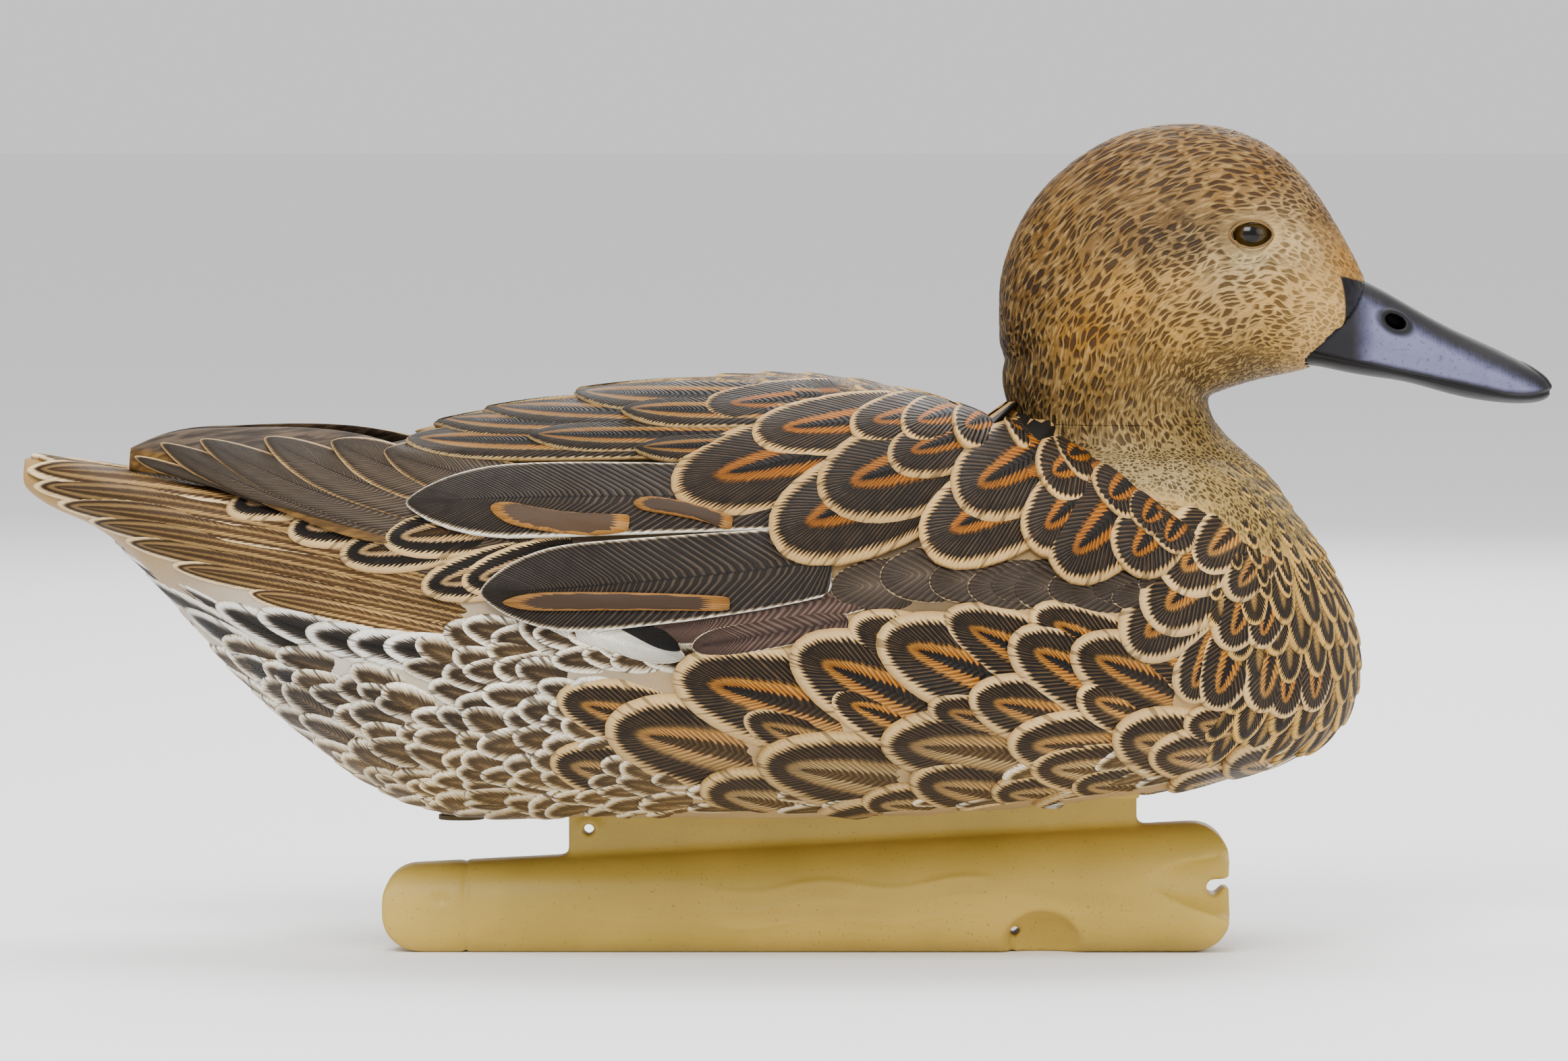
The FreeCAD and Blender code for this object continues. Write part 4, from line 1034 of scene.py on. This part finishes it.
LONG_SCAPULARS = [
    blade((-107, 144.5), (-18, 146), 9, 0, 0.7),
    blade((-100, 149), (-25, 150.5), 7, 0, 1.0),
    blade((-86, 152.5), (-10, 153), 7, 0, 1.2),
    blade((-72, 146), (-5, 148), 8, 0, 1.3),
    blade((-60, 156.5), (12, 158), 8, 0, 1.4),
    blade((-42, 143), (10, 146), 7, 0, 1.7),
    blade((-46, 152.5), (14, 154), 8, 0, 1.8),
]
TERTIALS = [
    blade((-105, 127.5), (8, 131), 20, -1.5, 1.9),
    blade((-84, 105.5), (14, 115), 25, 1.0, 1.0),
]
TERTIAL_STRIPES = [
    blade((-81.5, 129), (-42, 125), 6.0, 2.0, 0.14),
    blade((-42, 130.5), (-14, 125), 4.2, -1.0, 0.14),
    blade((-78, 103.5), (-14, 103.5), 5.2, -0.6, 0.14),
]
SPECULUM = [
    blade((-38, 96), (24, 107), 13, 0, 0.3),
    blade((-26, 91.5), (18, 99), 9, 0, 0.6),
]
WHITE_BARS = [blade((-27, 88.5), (-82, 106), 8, -1.5, 0.4)]
BLACK_BARS = [blade((-28.5, 90.5), (-58, 106), 7, 0.5, 0.7)]
WING_COVERTS = [
    feather(x, z, -4, 24, width, 0.9)
    for x, z, width in (
        (96, 108, 10), (88.5, 104.5, 11), (83, 107, 13), (76, 105.5, 13), (71, 107, 14), (61.5, 107, 16),
        (55, 108, 14), (49, 107.5, 15), (38.5, 109, 15), (25, 110.5, 17), (11.5, 107.5, 16),
    )
]
PRIMARIES = [
    blade((-184.5, 141), (-66, 107), 11, 4.5, 0.5),
    blade((-177, 144.3), (-66, 113), 11, 4.5, 0.9),
    blade((-165.5, 145.2), (-66, 119), 12, 4.5, 1.3),
    blade((-147, 145.4), (-64, 124), 13, 4, 1.7),
    blade((-127.5, 144.4), (-58, 129), 14, 3, 2.1),
    blade((-112, 142), (-54, 133), 13, 2, 2.4),
]
TAIL_COVERTS = tract(
    (-90, 108, -14, 34, 16), (-101, 106.5, -14, 36, 16), (-124, 114.5, -12, 36, 16),
    (-112, 119, -10, 34, 16), (-139, 120.5, -12, 36, 15), (-157, 126, -14, 38, 14),
)
TAIL_SIDE = [
    blade((-150, 104.5), (-84, 92), 8, -1, 0.0),
    blade((-172, 111.5), (-84, 97), 8, -1, 0.3),
    blade((-186, 118), (-84, 100), 9, -1.5, 0.6),
    blade((-197, 123.5), (-84, 104), 9, -2, 0.9),
    blade((-206, 128), (-86, 109), 9, -2.5, 1.2),
    blade((-213, 132.5), (-96, 115), 9, -3, 1.5),
    blade((-215, 136.5), (-104, 123), 9, -3, 1.8),
]
UNDERTAIL = tract(
    (-192, 113, 24, 40, 7, 0.4), (-183, 107, 28, 36, 8, 0.4), (-170, 99, 30, 34, 9, 0.5),
    (-160, 101, 24, 30, 10, 0.6), (-148, 99, 16, 30, 12, 0.7), (-134, 94.5, 12, 30, 13, 0.8),
    (-122, 92, 8, 28, 13, 0.8), (-112, 91, 6, 28, 13, 0.8), (-158, 88, 28, 28, 10, 0.6),
    (-146, 84, 22, 28, 12, 0.7),
)


def vent_rows():
    """Small round feathers behind the flank, whose rows turn up towards the tail."""
    dice = random.Random(11)
    rows = []
    for row in range(14):
        for step in range(17):
            x = -40 - 8.8 * step - 4.4 * (row % 2) + dice.uniform(-2.6, 2.6)
            back = (-42 - x) / 125
            z = 39.5 + 6.0 * row + 13 * back * back + dice.uniform(-2.4, 2.4)
            floor = 36 if x > -114 else 36 + (-114 - x) * 0.95
            ceiling = 100 if x > -96 else 98 + (-96 - x) * 0.14
            over_flank = x > -58 and z > 56 + (x + 58) * 0.5 and z < 86
            dark = x < -104 and z > 86 + (-104 - x) * 0.1
            if floor - 2 < z < ceiling and not over_flank and not dark:
                rise = 4 + 34 * max(0.0, back) ** 1.4
                width = 11 + 2 * back + dice.uniform(-2.4, 2.0)
                rows.append(feather(x, z, rise + dice.uniform(-14, 14), 18 + 5 * back, width, 0.8))
    return rows


def breast_rows():
    """Crescents round the breast: small and in columns above, larger below, pointing down."""
    dice = random.Random(5)
    rows = []
    height, row = 55.0, 0
    while height < 137:
        low = height < 98
        pitch = 11.5 if low else 8.8
        reach = 78 if height < 112 else 50 + (137 - height) * 0.5
        count = int(reach / pitch) + 1
        for step in range(-count, count + 1):
            stagger = 0.5 * (row % 2) if low else 0.5
            around = (step + stagger) * pitch + dice.uniform(-1, 1)
            if abs(around) < reach and dice.random() < 0.96:
                length, width = (22, 14.5) if low else (14, 7.6)
                lean = around * 0.16 + dice.uniform(-5, 5)
                drop = height + dice.uniform(-1.0, 1.0)
                rows.append(feather(around, drop, -90 - lean, length, width, 1.1 if low else 0.9))
        height += 7.8 if low else 4.6
        row += 1
    return rows


def back_rows():
    """Feathers over the middle of the back, from the shoulders to the rump."""
    dice = random.Random(8)
    rows = []
    for row in range(-1, 11):
        x = 30 - 12.5 * row
        for step in range(-4, 5):
            y = (step + 0.5 * (row % 2)) * 12.5 + dice.uniform(-1, 1)
            if abs(y) < 46 - 0.18 * abs(x - 10):
                length = min(30, 56 - x)
                rows.append(feather(x + dice.uniform(-2, 1), y, 0.4 * y, length, 17, 1.3))
    return rows


def rump_rows():
    """Dark feathers between the wing tips, down to the tail."""
    rows = []
    for row in range(6):
        x = -106 - 10 * row
        for step in range(-2, 3):
            y = (step + 0.5 * (row % 2)) * 12
            rows.append(feather(x, y, 0, 26, 15, 0.8))
    return rows


def tail_fan():
    """The tail feathers seen from above."""
    rows = []
    for step in (-4, 4, -3, 3, -2, 2, -1, 1, 0):
        tip = (-215 + 2.6 * abs(step), step * 2.1)
        root = (-118, step * 8.4)
        rows.append(blade(tip, root, 11, 0, 0.5 + 0.15 * (4 - abs(step))))
    return rows


def undertail_rows():
    """Pale-edged dark feathers along the middle of the undertail."""
    rows = []
    for row in range(8):
        x = -128 - 9 * row
        for step in range(-1, 2):
            y = (step + 0.5 * (row % 2)) * 8.5
            if abs(y) < 14 - 0.9 * row:
                rows.append(feather(x, y, 0, 22, 10, 0.7))
    return rows


KEEL_TOP = 38.0


def belly_rows():
    """Plain pale feathers under the belly, round the keel's seat and the drain plug."""
    dice = random.Random(21)
    drain_low, drain_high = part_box("drain_plug")
    drain_x = (drain_low.x + drain_high.x) / 2 / MM
    rows = []
    for row in range(22):
        x = 134 - 12.5 * row
        for step in range(-5, 6):
            y = (step + 0.5 * (row % 2)) * 12 + dice.uniform(-1, 1)
            inside = 60 - max(0.0, abs(x) - 90) * 0.55
            by_keel = abs(y) < KEEL_TOP and -82 < x < 128
            by_drain = math.hypot(x - drain_x - 4, y) < 24
            if abs(y) < inside and not by_keel and not by_drain:
                rows.append(feather(x, y, 0, 22, 14.5, 0.7))
    return rows


def wing_chart(surface, wing, side):
    """Places points of the side view on the folded wing: its tip where there is one, else the body."""
    low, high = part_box(SIDE_NAMES[side] + "_wing_tip")
    face = (low.y + high.y) / 2
    body = side_chart(surface, side)

    def place(x, z):
        """Where a place of the chart is on the skin."""
        origin, ahead = Vector((x, side * 300, z)) * MM, Vector((0, -side, 0))
        on_wing, wing_normal, _, _ = wing.ray_cast(origin, ahead)
        point, normal = body(x, z)
        if on_wing is None and x * MM < low.x + 72 * MM:
            on_wing, wing_normal, _, _ = wing.find_nearest(Vector((x * MM, face + side * 9 * MM, z * MM)))
            return on_wing, wing_normal
        if on_wing is not None and on_wing.y * side > point.y * side:
            return on_wing, wing_normal
        return point, normal

    return place


def make_plumage(surface, wings):
    """Every tract of feathers, the side tracts once for each side."""
    over, under = top_chart(surface), top_chart(surface, -1)
    front = breast_chart(surface)
    lay_feathers("breast_feathers", front, breast_rows(), BROAD_SMALL, BREAST_PAINT, seed=3, root=-0.2)
    lay_feathers("back_feathers", over, back_rows(), BROAD, BACK_PAINT, seed=4)
    lay_feathers("rump_feathers", over, rump_rows(), BROAD, RUMP_PAINT, seed=5)
    lay_feathers("tail_feathers_top", over, tail_fan(), LONG, TAIL_PAINT, seed=6)
    lay_feathers("belly_feathers", under, belly_rows(), ROUND_SMALL, VENT_PAINT, seed=7)
    lay_feathers("undertail_middle", under, undertail_rows(), ROUND_SMALL, UNDERTAIL_PAINT, seed=9)
    for side in (RIGHT, LEFT):
        skin, wing = side_chart(surface, side), wing_chart(surface, wings[side], side)
        tracts = (
            ("vent_feathers", skin, vent_rows(), ROUND_SMALL, VENT_PAINT, 0.5, -0.9, -0.2),
            ("undertail_feathers", skin, UNDERTAIL, ROUND, UNDERTAIL_PAINT, 0.4, -0.8, -0.1),
            ("tail_feathers", skin, TAIL_SIDE, LONG, TAIL_PAINT, 0.6, -0.7, 0.1),
            ("tail_coverts", skin, TAIL_COVERTS, ROUND, COVERT_BAR_PAINT, 0.6, 0.2, -0.4),
            ("white_wing_bar", skin, WHITE_BARS, LONG, WHITE_BAR_PAINT, 0.3, 0.0, 0.0),
            ("black_wing_bar", skin, BLACK_BARS, BLADE, BLACK_BAR_PAINT, 0.2, 0.2, 0.0),
            ("speculum_feathers", skin, SPECULUM, LONG, SPECULUM_PAINT, 0.3, 0.2, 0.0),
            ("flank_feathers", skin, FLANK, ROUND, FLANK_PAINT, 0.9, -0.9, -0.2),
            ("breast_side_feathers", skin, BREAST_SIDE, BROAD, FLANK_PAINT, 0.6, -0.6, -0.2),
            ("wing_coverts", skin, WING_COVERTS, ROUND, WING_COVERT_PAINT, 0.6, -0.5, -0.3),
            ("flight_feathers", wing, PRIMARIES, BLADE, PRIMARY_PAINT, 0.5, 0.0, 0.1),
            ("tertial_feathers", wing, TERTIALS, BLADE, TERTIAL_PAINT, 0.9, 1.6, 0.0),
            ("tertial_stripes", None, TERTIAL_STRIPES, LONG, STRIPE_PAINT, 0.05, 0.05, 0.06),
            ("long_scapulars", wing, LONG_SCAPULARS, BLADE, STRIPED_PAINT, 0.5, 1.2, 0.0),
            ("scapular_feathers", skin, SCAPULARS, BROAD, SCAPULAR_PAINT, 0.9, 1.0, -0.3),
        )
        on_last = skin
        for name, chart, feathers, template, material, crown, base, root in tracts:
            piece = lay_feathers(
                f"{SIDE_NAMES[side]}_{name}", chart or on_last, feathers, template, material, crown,
                seed=20 + side, base=base, root=root,
                beyond=beyond_neck if name == "scapular_feathers" else None,
            )
            on_last = side_chart(BVHTree.FromObject(piece, bpy.context.evaluated_depsgraph_get()), side)


# ---------------------------------------------------------------- bill


def mouth_line(x):
    """Height of the mouth line along the bill, in mm."""
    return 169.9 - 0.218 * (x - 148) + 0.02 * max(0.0, x - 202) ** 2


def bill_paint():
    """Satin slate horn with a black ridge, edges and tip, mottled at the base; palest mid-side, partly the
    slate's own colour and partly a painted highlight of its sheen, and darkened in the nostril as painted
    shade.
    """
    material, n, surface = start_material("bill_horn", 0.3, 0.22)
    shade = n.attribute("shade")["Fac"]
    place = n.place()
    mottle = n.noise(place, 160.0, 4.0, 0.65)
    fine = n.noise(place, 800.0, 3.0, 0.6)
    wobble = n.times(n.minus(mottle, 0.5), 0.35)
    # From pale slate mid-side, partly a painted highlight of the sheen, to black on the ridge, edges, tip
    # and base, and painted shade in the nostril.
    horn = n.ramp(
        n.plus(shade, wobble, clamp=True),
        [(0.0, paint(100, 100, 122)), (0.24, paint(76, 76, 96)), (0.5, paint(44, 43, 54)),
         (0.68, paint(24, 23, 28)), (1.0, paint(9, 8, 9))],
    )
    specks = n.times(n.span(fine, 0.56, 0.7), 0.45)
    n.feed(surface["Base Color"], n.mix(specks, horn, HORN_BLACK))
    n.feed(surface["Roughness"], n.span(shade, 0.2, 0.8, 0.32, 0.56))
    n.feed(surface["Coat Weight"], n.span(shade, 0.1, 0.6, 0.12, 0.02))
    surface["Coat Roughness"].default_value = 0.18
    n.feed(surface["Normal"], n.bump(n.plus(mottle, n.times(fine, 0.3)), 0.35, 0.0004))
    return material


NOSTRIL_X, NOSTRIL_Z, NOSTRIL_TILT = 171.9, 178.8, math.radians(27)


def make_bill():
    """The bill: mouth line, raised nostril rims, nail and lamellate edge carved into its skin."""
    bm = remeshed(("bill",), 0.42 * MM)
    shade_layer = bm.verts.layers.float.new("shade")
    bm.normal_update()
    tops = {}
    for vertex in bm.verts:
        x, _, z = vertex.co / MM
        tops[round(x)] = max(z, tops.get(round(x), 0.0))
    moves = []
    for vertex in bm.verts:
        x, y, z = vertex.co / MM
        depth = 0.0
        mouth = z - mouth_line(x)
        depth -= 0.55 * bell(mouth, 0.45)
        depth += 0.22 * bell(mouth - 1.3, 0.7)
        ahead, above = x - NOSTRIL_X, z - NOSTRIL_Z
        on_x = ahead * math.cos(NOSTRIL_TILT) - above * math.sin(NOSTRIL_TILT)
        on_z = ahead * math.sin(NOSTRIL_TILT) + above * math.cos(NOSTRIL_TILT)
        reach = math.hypot(on_x / 3.4, on_z / 2.1)
        depth += 0.35 * bell(reach - 1.2, 0.25)
        depth -= 1.1 * clip((0.95 - reach) / 0.35)
        nail = math.hypot((x - 214.5) / 6.5, y / 5.0)
        if z > 159:
            depth += 0.35 * clip((1.05 - nail) / 0.2)
        # The darkness mask: black on the ridge, mouth edge, base and tip, and painted shade in the nostril
        # hole.
        ridge = clip((z - (tops[round(x)] - 7.5)) / 5.5)
        lower = clip((2.2 - mouth) / 1.8)
        base = clip((166.0 - x) / 7.0) * 0.8
        tip = clip((x - 211.5) / 4) * 0.85
        hole = clip((2.0 - reach) / 0.9)
        vertex[shade_layer] = max(ridge, lower, base, tip, hole)
        moves.append((vertex, vertex.normal * depth * MM))
    shift(moves)
    return finish_piece(bm, "bill_horn", bill_paint(), replaces=("bill",))


# ---------------------------------------------------------------- eyes


def eye_paint():
    """Olive-brown iris with a black pupil under a clear dome."""
    material, n, surface = start_material("eye_glass", 0.16, 0.2)
    x, y, z = n.parts(n.place())
    ahead = n.minus(x, EYE_X)
    above = n.minus(z, EYE_Z)
    reach = n.math("SQRT", n.plus(n.math("POWER", ahead, 2.0), n.math("POWER", above, 2.0)))
    streaks = n.noise(n.place(), 900.0, 2.0)
    colour = n.ramp(
        n.times(reach, 160.0),
        [(0.0, paint(5, 4, 3)), (0.34, paint(6, 5, 4)), (0.38, paint(44, 32, 12)),
         (0.66, paint(50, 37, 15)), (0.86, paint(24, 17, 8)), (1.0, paint(12, 9, 6))],
    )
    n.feed(surface["Base Color"], n.mix(n.span(streaks, 0.4, 0.7, 0.0, 0.35), colour, paint(20, 16, 8)))
    n.feed(surface["Coat Weight"], n.span(streaks, 0.0, 1.0, 0.08, 0.12))
    surface["Coat Roughness"].default_value = 0.05
    return material


def lid_paint():
    """Brown paint on the rim of the eye."""
    material, n, surface = start_material("eyelid", 0.5)
    finish = n.use(HAND_PAINT, Color=paint(104, 82, 56), Drift=0.3, Grain=0.3)
    n.feed(surface["Base Color"], finish["Color"])
    n.feed(surface["Normal"], n.bump(finish["Height"], 0.5, 0.0002))
    return material


def make_eyes(surface):
    """Two glass domes, each in a slim lid that follows the almond of the eye."""
    glass, skin = eye_paint(), lid_paint()
    lid_steps, lid_radius = 56, 0.3 * MM
    for side in (RIGHT, LEFT):
        low, high = EYE_BOX[side]
        face_y = high.y if side == LEFT else low.y
        bm = bmesh.new()
        bmesh.ops.create_uvsphere(bm, u_segments=48, v_segments=32, radius=1)
        for vertex in bm.verts:
            unit = vertex.co.copy()
            vertex.co = (
                EYE_X + unit.x * 5.9 * MM,
                face_y - side * 4.9 * MM + unit.y * 4.6 * MM,
                EYE_Z + unit.z * 4.6 * MM,
            )
        bmesh.ops.recalc_face_normals(bm, faces=bm.faces)
        name = SIDE_NAMES[side]
        finish_piece(bm, name + "_eye_dome", glass, replaces=(name + "_eye",))
        ring = []
        for step in range(lid_steps):
            angle = 2 * math.pi * step / lid_steps
            corner = 1 + 0.10 * math.cos(angle) ** 8
            x = EYE_X + math.cos(angle) * EYE_HALF_LENGTH * corner
            z = EYE_Z + math.sin(angle) * EYE_HALF_HEIGHT
            point, normal, _, _ = surface.ray_cast(Vector((x, side * 300 * MM, z)), Vector((0, -side, 0)))
            ring.append(Vector((x, point.y + side * 0.25 * MM, z)))
        tube = bpy.data.curves.new(name + "_lid_line", "CURVE")
        tube.dimensions = "3D"
        tube.bevel_depth = lid_radius
        tube.bevel_resolution = 3
        line = tube.splines.new("POLY")
        line.points.add(lid_steps - 1)
        for point, place in zip(line.points, ring):
            point.co = (*place, 1)
        line.use_cyclic_u = True
        holder = bpy.data.objects.new(name + "_lid_line", tube)
        link(holder)
        graph = bpy.context.evaluated_depsgraph_get()
        mesh = bpy.data.meshes.new_from_object(holder.evaluated_get(graph), depsgraph=graph)
        bpy.data.objects.remove(holder)
        bm = bmesh.new()
        bm.from_mesh(mesh)
        bpy.data.meshes.remove(mesh)
        finish_piece(bm, name + "_eyelid", skin)


# ---------------------------------------------------------------- keel and fittings

# Along and up, in mm: the keel's parting line, and the moulding gate's dimple behind it.
SEAM_X = -90.6
DIMPLE_X, DIMPLE_Z, DIMPLE_SIDE = -97.5, 15.5, 8
# The stretch of the keel's side that carries the ripples, and their heights.
RIPPLE_REAR, RIPPLE_FRONT, RIPPLE_FADE = -24, 60, 6
RIPPLE_LINES = (9.5, 14.5, 19.5)


def keel_paint():
    """Satin olive-tan moulded plastic, with fine dark flecks and soft flow marks."""
    material, n, surface = start_material("keel_moulding", 0.45, 0.35)
    place = n.place()
    slow = n.noise(place, 22.0, 3.0)
    fleck = n.noise(place, 1500.0, 1.0, 0.4)
    x, y, z = n.parts(place)
    flow = n.noise(n.join(n.times(x, 0.15), y, z), 130.0, 2.0)
    colour = n.mix(n.span(slow, 0.3, 0.7), paint(160, 138, 80), paint(178, 153, 92))
    colour = n.mix(n.span(flow, 0.5, 0.8, 0.0, 0.3), colour, paint(146, 124, 70))
    colour = n.mix(n.span(fleck, 0.70, 0.76, 0.0, 0.55), colour, paint(84, 66, 32))
    n.feed(surface["Base Color"], colour)
    n.feed(surface["Roughness"], n.span(slow, 0.3, 0.7, 0.38, 0.52))
    n.feed(surface["Normal"], n.bump(n.noise(place, 2600.0, 2.0), 0.18, 0.0001))
    return material


def ripple(x, z):
    """Three embossed ripple lines along the keel's side: their height at a point, in mm."""
    if not RIPPLE_REAR < x < RIPPLE_FRONT:
        return 0.0
    fade = min(1.0, (x - RIPPLE_REAR) / RIPPLE_FADE, (RIPPLE_FRONT - x) / RIPPLE_FADE)
    height = 0.0
    for line in RIPPLE_LINES:
        wave = line + 0.035 * (x - 18) + 1.3 * math.sin(x / 6.5)
        height = max(height, bell(z - wave, 0.75))
    return 0.45 * height * fade


def make_keel(material):
    """The keel's outer skin with its soft mould edges and a ripple emboss on each side."""
    bm = remeshed(("keel_shell", "front_ballast", "rear_ballast", "keel_end_plug"), 0.85 * MM, smooth=3)
    bm.normal_update()
    moves = []
    for vertex in bm.verts:
        x, y, z = vertex.co / MM
        side = clip((abs(vertex.normal.y) - 0.6) / 0.3)
        move = vertex.normal * ripple(x, z) * side
        seam = bell(x - SEAM_X, 0.7) * -0.5
        dimple = math.hypot(x - DIMPLE_X, z - DIMPLE_Z) if abs(y) > DIMPLE_SIDE else 99
        dent = -0.7 * bell(dimple, 1.6)
        move += vertex.normal * (seam + dent)
        moves.append((vertex, move * MM))
    shift(moves)
    return finish_piece(
        bm, "keel_skin", material,
        replaces=("keel_shell", "keel_end_plug", "front_ballast", "rear_ballast"),
    )


def metal_paint():
    """Bright steel, a little worn."""
    material, n, surface = start_material("screw_steel", 0.35, 0.5)
    place = n.place()
    n.feed(surface["Base Color"], n.mix(n.noise(place, 600.0), paint(150, 148, 144), paint(196, 194, 190)))
    n.feed(surface["Metallic"], n.span(n.noise(place, 900.0), 0.2, 0.3, 0.9, 1.0))
    n.feed(surface["Roughness"], n.span(n.noise(place, 1400.0), 0.3, 0.7, 0.28, 0.45))
    return material


def rubber_paint():
    """Dull brown rubber."""
    material, n, surface = start_material("plug_rubber", 0.7)
    finish = n.use(HAND_PAINT, Color=paint(70, 60, 44), Drift=0.2, Grain=0.2)
    n.feed(surface["Base Color"], finish["Color"])
    n.feed(surface["Normal"], n.bump(finish["Height"], 0.4, 0.0001))
    return material


def wing_under_paint():
    """The wing tip's plastic: brown below the flight feathers, partly its own colour and partly painted
    shade under them, grey-brown where they reach its top.
    """
    material, n, surface = start_material("wing_underside", 0.6)
    place = n.place()
    x, y, z = n.parts(place)
    vane = n.noise(n.join(n.times(x, 0.12), y, z), 520.0, 3.0)
    # Brown below the flight feathers' line: partly the plastic's colour, partly painted shade beneath them.
    below = n.mix(n.span(vane, 0.35, 0.7), paint(60, 42, 20), paint(98, 74, 42))
    above = n.mix(n.span(vane, 0.35, 0.7), paint(40, 33, 27), paint(84, 72, 60))
    height = n.plus(z, n.times(x, 0.1))
    colour = n.mix(n.span(height, 0.1235, 0.1255), below, above)
    finish = n.hand_paint(surface, colour, 0.25, 0.2)
    n.feed(surface["Normal"], n.bump(vane, 0.5, 0.0004))
    return material


def dress(node, material):
    """Gives a CAD node that stays its own material."""
    slots = frame["nodes"][node].data.materials
    slots.clear()
    slots.append(material)


def dress_fittings():
    """Materials for the nodes that show as they are."""
    steel, under = metal_paint(), wing_under_paint()
    for node in ("keel_screws", "keel_washers"):
        dress(node, steel)
    for node in ("right_wing_tip", "left_wing_tip"):
        dress(node, under)
    dress("drain_plug", rubber_paint())


# ---------------------------------------------------------------- setting


def make_floor():
    """A plain pale floor under the keel."""
    material, n, surface = start_material("pale_floor", 0.9)
    surface["Base Color"].default_value = paint(246, 246, 246)
    bm = bmesh.new()
    bmesh.ops.create_grid(bm, x_segments=1, y_segments=1, size=60)
    mesh = bpy.data.meshes.new("floor")
    bm.to_mesh(mesh)
    bm.free()
    floor = bpy.data.objects.new("floor", mesh)
    link(floor)
    mesh.materials.append(material)


def make_lights():
    """Soft boxes above, in front and to each side, and a pale sky."""
    world = bpy.data.worlds.new("studio")
    bpy.context.scene.world = world
    world.use_nodes = True
    sky = world.node_tree.nodes["Background"].inputs
    sky["Color"].default_value = paint(250, 250, 250)
    sky["Strength"].default_value = 0.95
    aim = Vector((0, 0, 0.11))
    for name, place, size, power in (
        ("key", (-0.4, -1.5, 1.5), 0.9, 52),
        ("fill", (1.4, -1.3, 0.8), 1.2, 12),
        ("top", (0.2, 0.3, 1.8), 1.2, 30),
        ("back", (0.3, 1.7, 1.1), 1.2, 20),
    ):
        lamp = bpy.data.lights.new(name, "AREA")
        lamp.size = size
        lamp.energy = power
        holder = bpy.data.objects.new(name, lamp)
        holder.location = place
        holder.rotation_euler = (aim - Vector(place)).to_track_quat("-Z", "Y").to_euler()
        link(holder)


def make_camera():
    """A long lens from the decoy's right, a little above level."""
    distance, elevation, view_width = 2.2, math.radians(3.0), 0.4446
    aim = Vector((-0.0004, 0, 0.1193))
    data = bpy.data.cameras.new("camera")
    data.sensor_width = 36
    data.lens = data.sensor_width * distance / view_width
    camera = bpy.data.objects.new("camera", data)
    camera.location = aim + Vector((0, -math.cos(elevation), math.sin(elevation))) * distance
    camera.rotation_euler = (aim - camera.location).to_track_quat("-Z", "Y").to_euler()
    link(camera)
    bpy.context.scene.camera = camera


def build():
    """Makes every piece, from the skins outwards."""
    make_camera()
    body_surface = make_body()
    wings = {}
    for side in (RIGHT, LEFT):
        bm = bmesh.new()
        bm.from_mesh(frame["nodes"][SIDE_NAMES[side] + "_wing_tip"].data)
        wings[side] = BVHTree.FromBMesh(bm)
        bm.free()
    make_plumage(body_surface, wings)
    make_head()
    make_bill()
    make_eyes(body_surface)
    make_keel(keel_paint())
    dress_fittings()
    make_floor()
    make_lights()


build()
